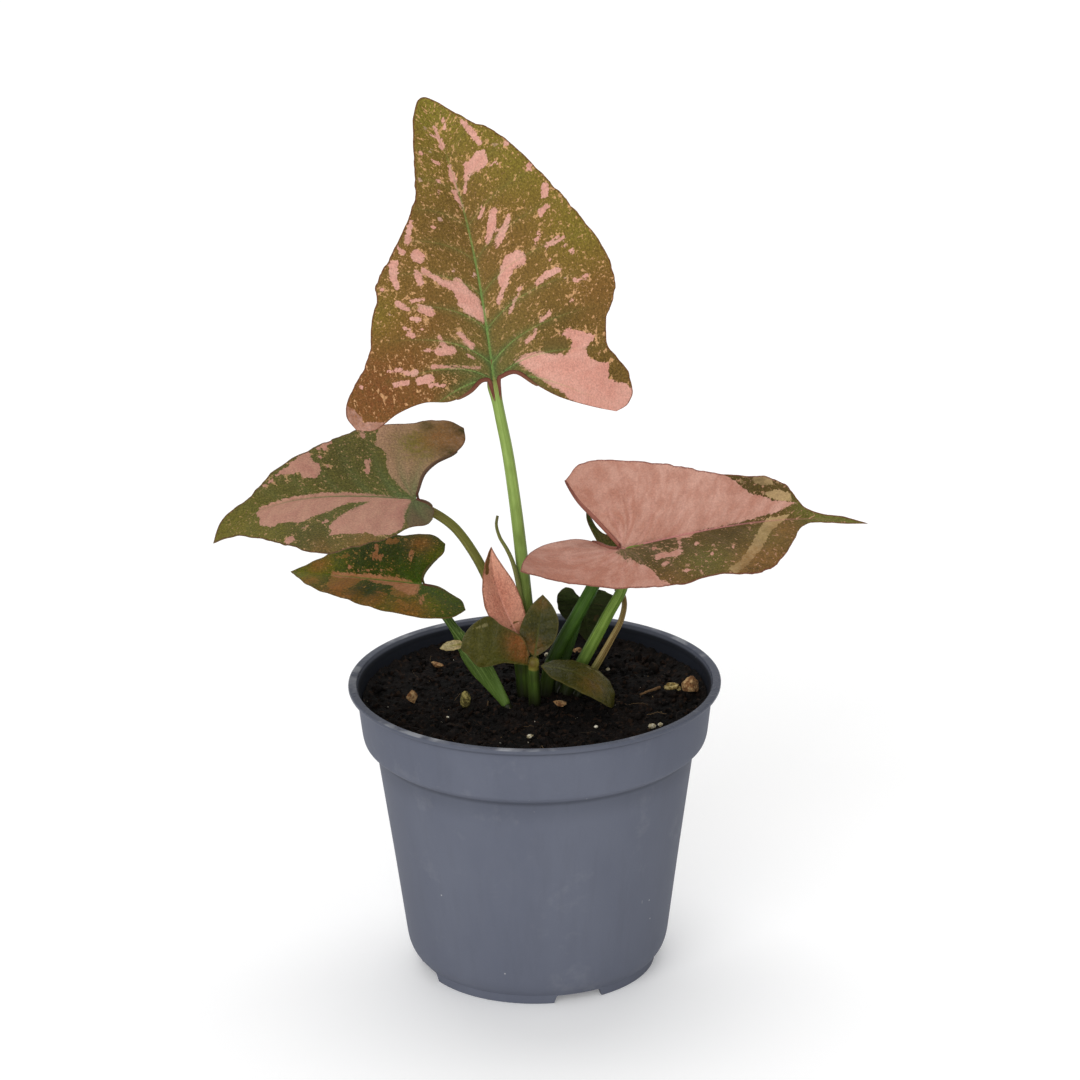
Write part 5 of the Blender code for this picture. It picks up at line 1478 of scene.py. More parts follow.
@dataclass(frozen=True)
class Stalk:
    """One leaf stalk.

    route runs from the blade down to the crown. A stalk with a leaf goes on under the blade as
    the start of its midrib, and flare is how much it swells there. widths is how much wider it
    grows across depth, as (share of its length, factor), and bow how far its flat part is
    hollowed, as a share of its radius.
    """

    name: str
    finish: StalkFinish
    route: tuple
    top_radius: float
    foot_radius: float
    leaf: Union[Leaf, None] = None
    slot: str = "stem_green"
    points: int = 110
    sides: int = 28
    ridge: float = 0.035
    ribs: int = 9
    widths: tuple[Flat, ...] = ()
    depth: tuple[float, float, float] = (0.05, 1.0, 0.1)
    bow: float = 0.0
    sink: float = 0.9
    flare: float = 0.3

    def line(self) -> np.ndarray:
        """The stalk's centre line, from under the blade down into the crown.

        Returns:
            Its points, in mm from the pot's axis.
        """
        route = [np.array(place, dtype=float) for place in self.route]
        if self.leaf is not None:
            xs, centres, _, ups = self.leaf.midrib()
            lead = []
            for x, drop in UNDER_BLADE:
                centre, up = (np.array([np.interp(x, xs, table[:, k]) for k in range(3)])
                              for table in (centres, ups))
                lead.append(centre - up * (0.5 * self.leaf.sheet + drop * self.top_radius))
            route = lead + route
        line = smooth_line(route, self.points)
        end = line[-1] - line[-2]
        return np.vstack([line, line[-1] + end / np.linalg.norm(end) * self.sink])

    def radii(self, line: np.ndarray) -> np.ndarray:
        """The stalk's radius at each point of its line, thin where it starts under a blade.

        Args:
            line: the stalk's centre line.

        Returns:
            The radii, in mm.
        """
        run = travelled(line)
        radius = self.top_radius + (self.foot_radius - self.top_radius) * run / run[-1]
        if self.leaf is not None:
            lead = UNDER_BLADE[0][0]
            radius *= 0.25 + 0.75 * eased(run / (lead + 2.0))
            radius *= 1.0 + self.flare * np.exp(-((run - lead - 1.5) / FLARE_REACH) ** 2)
        radius[-1] *= 0.8
        return radius

    def build(self) -> bpy.types.Object:
        """Make the stalk.

        Returns:
            The stalk's object.
        """
        line = self.line()
        shape = Shape()
        widths = np.ones(len(line))
        if self.widths:
            widths = np.interp(np.linspace(0.0, 1.0, len(line)), *zip(*self.widths))
            widths = np.convolve(np.pad(widths, 4, mode="edge"), np.ones(9) / 9.0, "valid")
        tube(shape, line, self.radii(line), self.sides, self.ridge, self.ribs, widths,
             self.depth if self.widths else (), self.bow)
        return shape.build(self.name + "_stem", self.finish.material(self.name + "_skin"),
                           sharp=70.0)


@dataclass(frozen=True)
class Rim:
    """The raised rims of a blade's sinus, which run on down the front of its stalk.

    reach is how far each one follows the sinus, left and right, in mm, and drop how far it
    runs down the stalk.
    """

    stalk: Stalk
    finish: StalkFinish
    reach: Flat
    radius: float
    drop: float
    points: int = 80
    sides: int = 12

    def build(self) -> bpy.types.Object:
        """Make both rims.

        Returns:
            The object that holds them.
        """
        leaf = self.stalk.leaf
        line = self.stalk.line()
        radii, run = self.stalk.radii(line), travelled(line)
        _, left, up = leaf.axes()
        shape = Shape()
        for side, reach in zip((1, -1), self.reach):
            inner, _, ahead = leaf.edges(side)
            sinus = inner[ahead - 1:]
            gone = travelled(sinus)
            steps = np.linspace(2.0, min(reach, gone[-1]), 24)
            flat = np.stack([np.interp(steps, gone, sinus[:, k]) for k in (0, 1)], axis=1)
            lead = []
            for share in (1.0, 0.5):
                spot = UNDER_BLADE[0][0] + self.drop * share
                centre = np.array([np.interp(spot, run, line[:, k]) for k in range(3)])
                out = up * 0.75 + left * side * 0.55
                lead.append(centre + out * np.interp(spot, run, radii))
            path = smooth_line([*lead, *leaf.bend(flat, side)], self.points)
            swell = np.sin(math.pi * np.linspace(0.0, 1.0, self.points)) ** 0.5
            tube(shape, path, self.radius * (0.3 + 0.7 * swell), self.sides)
        name = leaf.name + "_rim"
        return shape.build(name, self.finish.material(name + "_skin"), sharp=70.0)


UNDER_BLADE = ((7.0, 0.05), (1.5, 0.75))    # where a stalk runs under its blade: x, drop in radii
FLARE_REACH = 3.5                           # mm over which it swells there

GREEN_STEM = StalkFinish(
    main=(138, 162, 82), pale=(166, 188, 110), dark=(98, 118, 48), top=(118, 76, 54),
    foot=(68, 76, 20), top_reach=0.12, foot_reach=0.7)
OLIVE_STEM = StalkFinish(
    main=(104, 104, 46), pale=(136, 136, 72), dark=(76, 62, 30), top=(112, 70, 46),
    foot=(102, 122, 46), top_reach=0.3, foot_reach=0.3)
PALE_STEM = StalkFinish(
    main=(102, 130, 50), pale=(142, 166, 84), dark=(62, 88, 28), top=(112, 122, 50),
    foot=(66, 86, 34), streaks=0.85, specks=0.3)
SHEATH_STEM = StalkFinish(
    main=(70, 92, 34), pale=(114, 138, 70), dark=(38, 56, 16), top=(90, 110, 40),
    foot=(84, 110, 46), streaks=1.0, specks=0.1)
DARK_STEM = StalkFinish(
    main=(62, 98, 28), pale=(92, 126, 50), dark=(34, 56, 14), top=(70, 78, 34), foot=(34, 48, 14),
    foot_reach=0.6)
DRY_STEM = StalkFinish(
    main=(120, 96, 50), pale=(186, 168, 116), dark=(56, 40, 20), top=(84, 62, 34),
    foot=(104, 112, 56), streaks=1.0, roughness=0.62)
TIP_STEM = StalkFinish(
    main=(108, 110, 58), pale=(142, 140, 88), dark=(74, 68, 34), top=(96, 92, 62),
    foot=(100, 112, 48), roughness=0.55)

STALKS = (
    Stalk("upright_stalk", GREEN_STEM, (
        (-9.9, 6.0, 185.0), (-7.8, 6.0, 173.3), (-5.8, 5.6, 158.0), (-4.2, 5.0, 143.0),
        (-2.5, 4.4, 123.0), (-1.0, 4.0, 104.3)), 1.6, 2.2, UPRIGHT, points=150),
    Stalk("left_stalk", OLIVE_STEM, (
        (-33.6, 10.2, 151.9), (-30.2, 9.8, 150.2), (-24.8, 9.0, 146.0), (-18.6, 8.2, 137.0),
        (-13.8, 7.2, 127.0), (-9.3, 6.2, 115.4), (-5.4, 5.6, 104.3)), 1.4, 1.7, LEFT),
    Stalk("right_stalk", PALE_STEM, (
        (29.4, 1.0, 134.4), (28.4, 2.6, 127.0), (24.1, 4.0, 118.0), (19.7, 4.9, 109.0),
        (14.2, 5.4, 98.3)), 1.5, 2.1, RIGHT),
    Stalk("inner_stalk", DARK_STEM, (
        (21.4, 10.6, 129.4), (18.6, 9.0, 124.4), (13.3, 7.2, 115.0), (8.7, 6.4, 107.0),
        (6.0, 6.2, 101.3)), 1.9, 2.3, INNER),
    Stalk("back_stalk", DARK_STEM, (
        (14.8, 20.6, 112.8), (12.9, 17.4, 106.8), (10.3, 13.2, 100.6), (8.6, 10.8, 96.8)), 1.3, 1.8,
        BACK, points=70),
    Stalk("small_left_stalk", SHEATH_STEM, (
        (-32.6, 11.2, 121.4), (-28.0, 10.0, 114.8), (-22.9, 8.0, 107.9), (-17.0, 4.2, 101.0),
        (-12.8, -0.6, 95.6), (-9.4, -4.6, 90.9)), 1.2, 1.4, SMALL_LEFT, sides=44, ribs=15,
        ridge=0.03, widths=((0.0, 1.0), (0.45, 1.2), (0.62, 3.2), (0.72, 3.3), (1.0, 1.05)),
        depth=(0.25, 0.95, 0.2), bow=0.45),
    Stalk("dry_stalk", DRY_STEM, (
        (26.4, 9.0, 124.6), (28.3, 9.0, 123.2), (29.2, 8.4, 119.8), (28.0, 6.8, 114.4),
        (24.8, 5.2, 108.6), (20.4, 4.2, 100.9), (17.4, 3.8, 96.0)), 0.7, 1.25, slot="dry_straw",
        ridge=0.13, ribs=5),
    Stalk("sheath_tip", TIP_STEM, (
        (-11.2, 3.4, 152.0), (-11.6, 3.2, 149.0), (-10.6, 2.9, 145.0), (-8.4, 2.5, 141.0),
        (-6.7, 2.3, 137.0), (-5.2, 1.9, 131.0), (-4.2, 1.6, 124.5), (-3.2, 3.0, 120.5)), 0.45, 0.95,
        ridge=0.10, ribs=3, points=80, sides=20),
)

TWIG_SKIN = StalkFinish(
    main=(120, 92, 62), pale=(164, 134, 96), dark=(62, 42, 26), top=(96, 70, 46), foot=(96, 70, 46),
    streaks=0.8, roughness=0.8)
SINUS_RED = StalkFinish(
    main=(116, 66, 52), pale=(152, 102, 78), dark=(78, 44, 32), top=(128, 122, 72),
    foot=(122, 88, 60), streaks=0.6, specks=0.0)
SINUS_BROWN = StalkFinish(
    main=(86, 60, 44), pale=(120, 96, 70), dark=(54, 38, 26), top=(98, 78, 48), foot=(84, 68, 40),
    streaks=0.6, specks=0.0)
SINUS_ROSE = StalkFinish(
    main=(140, 84, 70), pale=(176, 120, 104), dark=(92, 52, 42), top=(120, 82, 58),
    foot=(104, 58, 46), streaks=0.6, specks=0.0)
SINUS_OLIVE = StalkFinish(
    main=(78, 72, 30), pale=(116, 108, 54), dark=(48, 46, 16), top=(96, 104, 44), foot=(76, 76, 28),
    streaks=0.6, specks=0.0)

RIMS = (
    Rim(STALKS[0], SINUS_RED, (15.0, 16.0), 0.75, 6.5),
    Rim(STALKS[1], SINUS_BROWN, (7.0, 26.0), 0.6, 3.0),
    Rim(STALKS[2], SINUS_ROSE, (32.0, 14.0), 0.7, 3.0),
    Rim(STALKS[5], SINUS_OLIVE, (14.0, 12.0), 0.42, 3.0),
)


@dataclass(frozen=True)
class Crown:
    """The planted crown: the feet of all the stalks, grown together, with a young bud.

    Each foot is (route, top radius, foot radius), and its route starts inside its stalk's foot.
    """

    feet: tuple = (
        (((-1.15, 4.05, 106.8), (-1.0, 4.0, 103.8), (-1.1, 4.3, 97.0), (-0.8, 4.6, 88.0),
         (0.0, 5.0, 72.0)), 2.35, 2.7),
        (((-5.8, 5.75, 106.0), (-5.2, 5.7, 103.0), (-4.2, 5.8, 97.0), (-3.6, 5.8, 88.0),
         (-0.6, 5.4, 72.5)), 1.85, 2.4),
        (((-9.4, -4.6, 90.9), (-7.4, -5.0, 87.0), (-4.0, 0.6, 79.0), (-1.0, 4.8, 73.0)), 1.45, 2.0),
        (((14.8, 5.3, 99.3), (13.4, 5.5, 96.6), (10.6, 5.8, 91.0), (7.0, 5.6, 81.0),
         (1.4, 5.2, 72.8)), 2.25, 2.5),
        (((6.5, 6.2, 102.4), (5.6, 6.2, 99.8), (4.0, 6.2, 93.0), (2.6, 5.8, 82.0),
         (0.8, 5.2, 72.4)), 2.45, 2.6),
        (((8.9, 11.2, 97.4), (8.2, 10.2, 95.0), (6.8, 9.0, 90.0), (4.4, 7.4, 81.0),
         (1.0, 5.6, 73.2)), 1.95, 2.2),
        (((17.4, 3.8, 96.0), (14.0, 3.8, 89.6), (9.0, 4.4, 81.0), (1.6, 4.8, 73.4)), 1.3, 1.7),
        (((-0.3, -4.0, 103.8), (-0.2, -3.6, 97.0), (0.0, -2.4, 88.0), (0.0, 4.0, 73.6)), 1.8, 2.3),
    )
    points: int = 60
    sides: int = 24
    ridge: float = 0.04
    ribs: int = 7
    bud: tuple[float, float, float] = (-0.3, -4.0, 104.3)
    bud_radius: float = 1.9
    bud_form: tuple[float, float, float] = (1.05, 1.0, 1.15)
    grain: float = 0.36

    def material(self) -> bpy.types.Material:
        """Green and striped above, earthy where it enters the soil, with a yellowish bud.

        Returns:
            The material.
        """
        g = Graph("crown_skin", Specular_IOR_Level=0.22)
        place = g.place()
        bud, height = g.value("bud"), g.value("height")
        lines = g.noise(g.stretch(place, (900.0, 900.0, 42.0)), 1.0, 3.0, 0.6)
        blotch = g.noise(place, 220.0, 3.0)
        colour = g.mix(lines.step(0.36, 0.66), screen(46, 66, 18), screen(74, 96, 34))
        colour = g.mix((blotch - 0.4).clip() * 1.6, colour, screen(44, 40, 16))
        soiled = (height * 0.07 + (blotch - 0.5) * 0.5).step(0.62, -0.06)
        colour = g.mix(soiled * 0.95, colour, screen(20, 18, 9))
        colour = g.mix((bud + (blotch - 0.5) * 0.3).step(0.35, 0.6) * 0.9, colour,
                       g.mix(blotch.step(0.35, 0.7), screen(132, 124, 52), screen(94, 72, 30)))
        return g.finish(colour, 0.48 + (blotch - 0.5) * 0.2, g.bump(lines, 0.0002))

    def build(self) -> bpy.types.Object:
        """Fuse the feet and the bud into one skin.

        Returns:
            The crown's object.
        """
        shape = Shape()
        for route, top, foot in self.feet:
            line = smooth_line(route, self.points)
            run = np.linspace(0.0, 1.0, len(line))
            radii = (top + (foot - top) * run) * (1.0 - 0.35 * np.exp(-run * 60.0))
            tube(shape, line, radii, self.sides, self.ridge, self.ribs)
        ball = Lump(3)
        swell = 1.0 + 0.12 * lumps(ball.places, 0.8, 3, 4.0)
        form = ball.places * self.bud_radius * swell[:, None] * self.bud_form
        shape.add(np.array(self.bud) + form, ball.faces, coil=np.zeros_like(form),
                  share=np.zeros(len(form)))
        obj = shape.build("crown_stems", self.material(), sharp=70.0)
        fuse = obj.modifiers.new("fuse", "REMESH")
        fuse.mode = "VOXEL"
        fuse.voxel_size = self.grain * MM
        relax = obj.modifiers.new("relax", "SMOOTH")
        relax.factor = 0.5
        relax.iterations = 3
        applied(obj)
        mesh = obj.data
        places = np.empty(3 * len(mesh.vertices))
        mesh.vertices.foreach_get("co", places)
        places = places.reshape(-1, 3) / MM - AXIS / MM
        away = np.linalg.norm(places - np.array(self.bud), axis=1)
        store(mesh, "bud", np.clip(1.6 - away / (self.bud_radius * 1.25), 0.0, 1.0))
        store(mesh, "height", places[:, 2] - SOIL.height(places[:, 0], places[:, 1]))
        mesh.shade_smooth()
        return obj


def applied(obj: bpy.types.Object) -> None:
    """Apply an object's modifiers to its mesh, keeping its material.

    Args:
        obj: the object, with one material.
    """
    bpy.context.view_layer.update()
    shown = obj.evaluated_get(bpy.context.evaluated_depsgraph_get())
    mesh = bpy.data.meshes.new_from_object(shown)
    material = obj.data.materials[0]
    obj.modifiers.clear()
    obj.data = mesh
    mesh.materials.clear()
    mesh.materials.append(material)


def store(mesh: bpy.types.Mesh, name: str, values: np.ndarray) -> None:
    """Store a number on each vertex of a mesh."""
    mesh.attributes.new(name, "FLOAT", "POINT").data.foreach_set("value", values.ravel())


# ------------------------------------------------------------------------------ grains

class Lump:
    """A ball of even triangles, radius 1, that grains are shaped from."""

    def __init__(self, splits: int) -> None:
        """Make the ball from an icosahedron whose faces are split a number of times.

        Args:
            splits: how many times they are split.
        """
        bm = bmesh.new()
        bmesh.ops.create_icosphere(bm, subdivisions=splits, radius=1.0)
        self.places = np.array([vert.co[:] for vert in bm.verts])
        self.faces = np.array([[vert.index for vert in face.verts] for face in bm.faces])
        bm.free()

    def chipped(self, seed: int, planes: int, sharp: float) -> np.ndarray:
        """The ball cut by flat planes.

        Args:
            seed: which chip this is.
            planes: how many planes cut it.
            sharp: how crisp the edges between them are.

        Returns:
            The new places.
        """
        source = roll(seed)
        normals = unit(source.normal(size=(planes, 3)))
        depths = source.uniform(SHALLOWEST, 1.0, planes)
        facing = np.clip(self.places @ normals.T, 0.0, None) / depths
        reach = np.maximum((facing ** sharp).sum(axis=1), TINY) ** (-1.0 / sharp)
        return self.places * np.clip(reach, 0.5, 1.35)[:, None]


SHALLOWEST = 0.62           # how near a chip's middle its planes come, as a share of its radius


class Kind(Enum):
    """What a grain on the soil is."""

    PERLITE = "perlite"
    BARK = "bark"
    SEED = "seed"
    CURL = "curl"


@dataclass(frozen=True)
class GrainFinish(Finish):
    """The finish of a loose grain: its colour, its pale and dark patches, and its grit."""

    main: Colour
    pale: Colour
    dark: Colour
    scale: float = 700.0
    depth: float = 0.0004
    roughness: float = 0.82

    def material(self, name: str) -> bpy.types.Material:
        """The grain's material.

        Args:
            name: the material's name.

        Returns:
            The material.
        """
        g = Graph(name, Specular_IOR_Level=0.3)
        place = g.place()
        broad = g.noise(place, self.scale, 3.0, 0.6)
        grit = g.noise(place, self.scale * 4.0, 2.0)
        pores = g.cells(place, self.scale * 2.2)[0]
        colour = g.mix(broad.step(0.42, 0.66), self.main, self.pale)
        colour = g.mix((pores.step(0.30, 0.10) + broad.step(0.44, 0.30) * 0.7).clip() * 0.8,
                       colour, self.dark)
        height = broad * 0.6 + grit * 0.4 - pores.step(0.35, 0.0) * 0.4
        return g.finish(g.shade(colour, 0.84 + grit * 0.32), self.roughness + (grit - 0.5) * 0.2,
                        g.bump(height, self.depth))


GRAIN_FINISHES = {
    Kind.PERLITE: GrainFinish((176, 164, 130), (232, 226, 208), (84, 70, 40), 900.0),
    Kind.BARK: GrainFinish((128, 88, 52), (196, 160, 112), (56, 34, 17), 620.0, 0.0008),
    Kind.SEED: GrainFinish((86, 78, 34), (172, 158, 92), (34, 28, 11), 700.0, 0.0012, 0.6),
    Kind.CURL: GrainFinish((128, 104, 50), (206, 188, 128), (60, 42, 17), 700.0, 0.001, 0.6),
}


@dataclass(frozen=True)
class Grain:
    """A loose grain: the solid it stands for, and its length, width, height and turn."""

    node: str
    kind: Kind
    slot: str
    length: float
    width: float
    height: float
    turn: float
    seed: int

    def form(self) -> tuple[np.ndarray, Sequence]:
        """The grain's shape in a ball of radius 1, and its faces.

        Returns:
            The places of its points, and the faces.
        """
        if self.kind is Kind.CURL:
            return self.curl()
        ball = Lump(4)
        if self.kind is Kind.BARK:
            places = ball.chipped(self.seed, 11, 14.0)
            grain = lumps(places * (0.5, 2.4, 2.4), 0.7, 3, self.seed * 1.3)
            return places * (1.0 + 0.07 * grain)[:, None], ball.faces
        if self.kind is Kind.PERLITE:
            swell = 1.0 - np.abs(lumps(ball.places, 0.75, 3, self.seed * 1.7)) * 0.62
            return ball.places * (swell + 0.08)[:, None], ball.faces
        seams = np.cos(np.arctan2(ball.places[:, 1], ball.places[:, 2]) * 6.0)
        rough = lumps(ball.places, 0.5, 3, self.seed)
        return ball.places * (0.94 + 0.04 * seams + 0.08 * rough)[:, None], ball.faces

    def curl(self) -> tuple[np.ndarray, Sequence]:
        """A husk curled up in a coil, in a ball of radius 1, and its faces.

        Returns:
            The places of its points, and the faces.
        """
        angle = np.linspace(0.0, 1.55 * TAU, 90)
        swirl, rise = 0.72 - 0.34 * angle / angle[-1], -0.42 + 0.55 * angle / angle[-1]
        line = np.stack([np.cos(angle) * swirl, np.sin(angle) * swirl, rise], axis=1)
        ring = Shape()
        tube(ring, line, 0.27 - 0.06 * angle / angle[-1], 20, 0.06, 4)
        places = np.vstack(ring.places)
        return places * (1.0 + 0.05 * lumps(places, 0.4, 3, self.seed))[:, None], ring.faces

    def build(self) -> bpy.types.Object:
        """Make the grain where its solid lies.

        Returns:
            The grain's object.
        """
        low, high = (np.array(corner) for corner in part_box(self.node))
        centre = 0.5 * (low + high) / MM - AXIS / MM
        places, faces = self.form()
        places = places * (0.5 * self.length, 0.5 * self.width, 0.5 * self.height)
        cos, sin = math.cos(math.radians(self.turn)), math.sin(math.radians(self.turn))
        places = places @ np.array([[cos, sin, 0.0], [-sin, cos, 0.0], [0.0, 0.0, 1.0]])
        shape = Shape()
        shape.add(places + centre, faces)
        material = GRAIN_FINISHES[self.kind].material(self.node + "_crust")
        return shape.build(self.node + "_bit", material, sharp=60.0)


GRAIN_TABLE = (
    ("perlite_grain", 1, Kind.PERLITE, "perlite", (
        (2.6, 2.0, 1.6, 20), (1.8, 1.6, 1.3, 70), (2.4, 1.8, 1.3, 40), (1.3, 1.1, 0.9, 0),
        (1.2, 1.0, 0.8, 80), (1.5, 1.2, 1.0, 50), (1.6, 1.4, 1.1, 15), (1.8, 1.4, 1.2, 65))),
    ("bark_chip", 1, Kind.BARK, "bark", (
        (4.8, 2.6, 2.0, 15), (3.6, 3.0, 4.0, 60), (5.6, 4.6, 5.0, 35), (5.0, 2.6, 1.6, 120),
        (4.4, 2.6, 1.6, 75), (3.2, 2.0, 1.2, 150))),
    ("seed_husk", 1, Kind.SEED, "dry_straw", ((3.6, 3.4, 6.0, 0),)),
    ("seed_husk", 2, Kind.CURL, "dry_straw", ((6.2, 4.0, 5.4, 0),)),
)


def grains() -> list[Grain]:
    """Every loose grain on the soil.

    Returns:
        The grains, in the order of their names.
    """
    found = []
    for name, first, kind, slot, rows in GRAIN_TABLE:
        for number, row in enumerate(rows, start=first):
            found.append(Grain(f"{name}_{number}", kind, slot, *row, seed=len(found) + 3))
    return found


# ------------------------------------------------------------------------------ pot and soil

def turned(shape: Shape, profile: np.ndarray, sides: int) -> None:
    """Add a solid turned about the pot's axis.

    Args:
        shape: the mesh to add to.
        profile: its (radius, height) points, the first and the last on the axis.
        sides: how many faces go round it.
    """
    angle = np.arange(sides) * TAU / sides
    rings = profile[1:-1]
    places = np.stack([rings[:, :1] * np.cos(angle), rings[:, :1] * np.sin(angle),
                       np.repeat(rings[:, 1:], sides, axis=1)], axis=2).reshape(-1, 3)
    places = np.vstack([places, [[0.0, 0.0, profile[0][1]], [0.0, 0.0, profile[-1][1]]]])
    count = len(rings)
    faces = [(i * sides + j, (i + 1) * sides + j, (i + 1) * sides + (j + 1) % sides,
              i * sides + (j + 1) % sides) for i in range(count - 1) for j in range(sides)]
    last = (count - 1) * sides
    faces += [(count * sides, j, (j + 1) % sides) for j in range(sides)]
    faces += [(count * sides + 1, last + (j + 1) % sides, last + j) for j in range(sides)]
    shape.add(places, faces)


def rounded(corners: Sequence[tuple[float, float, float]], steps: int = 5) -> list[Flat]:
    """A profile whose corners are rounded.

    Args:
        corners: points (radius, height, rounding).
        steps: how many points make a rounded corner.

    Returns:
        The profile's points.
    """
    points = [np.array(corner[:2], dtype=float) for corner in corners]
    found = [tuple(points[0])]
    for before, here, after, corner in zip(points, points[1:], points[2:], corners[1:]):
        if corner[2] == 0.0:
            found.append(tuple(here))
            continue
        reach = [min(corner[2], 0.45 * float(np.linalg.norm(end - here)))
                 for end in (before, after)]
        start = here + unit(before - here) * reach[0]
        stop = here + unit(after - here) * reach[1]
        for t in np.linspace(0.0, 1.0, steps):
            found.append(tuple((1 - t) ** 2 * start + 2 * t * (1 - t) * here + t * t * stop))
    found.append(tuple(points[-1]))
    return found


@dataclass(frozen=True)
class PotFinish(Finish):
    """The matt injection-moulded plastic of the pot.

    collar and neck are the heights of the creases under its collar and its lip, both painted darker
    as shade, lip those between which the lip turns out and above which it is painted darker as
    shade, and wet those between which painted shade starts down the inside wall, in mm.
    """

    main: Colour = (92, 96, 109)
    pale: Colour = (107, 111, 123)
    dark: Colour = (82, 84, 92)
    dust: Colour = (176, 176, 176)
    # colour of the painted shade down the inside wall
    stain: Colour = (26, 29, 36)
    # colour of the painted highlight along the lip's top edge
    worn: Colour = (176, 178, 182)
    roughness: float = 0.58
    collar: float = 75.8
    neck: float = 94.9
    lip: tuple[float, float] = (95.2, 95.8)
    wet: tuple[float, float] = (96.8, 95.8)

    def material(self) -> bpy.types.Material:
        """The plastic: faint flow marks, fine scuffs, dust and a few pale specks, with painted shade
        in its creases, on its lip and down its inside, and a painted highlight along the lip's top
        edge.

        Returns:
            The material.
        """
        g = Graph("grower_pot_plastic", Specular_IOR_Level=0.07)
        place = g.place()
        broad = g.noise(g.stretch(place, (26.0, 26.0, 14.0)), 1.0, 4.0, 0.6)
        drawn = g.noise(g.stretch(place, (260.0, 260.0, 24.0)), 1.0, 3.0, 0.6)
        grain = g.noise(place, 2600.0, 2.0)
        colour = g.mix(broad.step(0.34, 0.68) * 0.34, self.main, self.pale)
        colour = g.mix(drawn.step(0.52, 0.34) * 0.10, colour, self.dark)
        smudge = g.noise(place, 70.0, 4.0, 0.7).step(0.56, 0.74)
        colour = g.mix(smudge * 0.06, colour, self.dust)
        away, pick = g.cells(place, 300.0)
        specks = away.step(0.11, 0.05) * pick.step(0.93, 0.94)
        scratch = g.noise(g.stretch(place, (900.0, 900.0, 90.0)), 1.0, 1.0)
        marks = scratch.step(0.76, 0.80) * g.noise(place, 60.0, 1.0).step(0.6, 0.7)
        colour = g.mix((specks * 0.7 + marks * 0.35).clip(), colour, self.dust)
        colour = g.shade(colour, 0.96 + grain * 0.08)
        x, y, z = g.parts(g.stretch(place, (1000.0, 1000.0, 1000.0)))
        away = ((x - AXIS[0] / MM) ** 2.0 + y ** 2.0) ** 0.5
        # painted shade: the inside wall is darkened from just under the rim down towards the soil
        inside = (away - z * 0.13).step(44.6, 44.2) * z.step(81.0, 83.0)
        stain = inside * (z + (smudge + drawn - 0.8) * 1.2).step(*self.wet)
        colour = g.mix(stain * 0.92, colour, self.stain)
        # painted shade: darker in the crease under the collar, in a soft band below it, and in the
        # crease under the lip
        crease_shade = ((z - self.collar).maths("ABSOLUTE").step(1.6, 0.2) * 0.24
                  + z.step(66.0, 75.4) * z.step(76.6, self.collar) * 0.16
                  + (z - self.neck).maths("ABSOLUTE").step(1.1, 0.2) * 0.34)
        colour = g.shade(colour, 1.0 - crease_shade)
        # painted shade: the lip's roll, above where it turns out, is darkened
        colour = g.shade(colour, 1.0 - z.step(*self.lip) * 0.16)
        # painted highlight: a pale broken line along the lip's top edge
        worn = g.noise(g.stretch(place, (60.0, 60.0, 60.0)), 1.0, 3.0, 0.6).step(0.50, 0.66)
        colour = g.mix(z.step(96.75, 96.95) * worn * 0.5, colour, self.worn)
        rough = self.roughness + (broad - 0.5) * 0.12 - smudge * 0.05 + (drawn - 0.5) * 0.10
        rough = rough - z.step(95.6, 96.4) * 0.3
        return g.finish(colour, rough, g.bump(grain * 0.5 + drawn * 0.5, 0.00006))


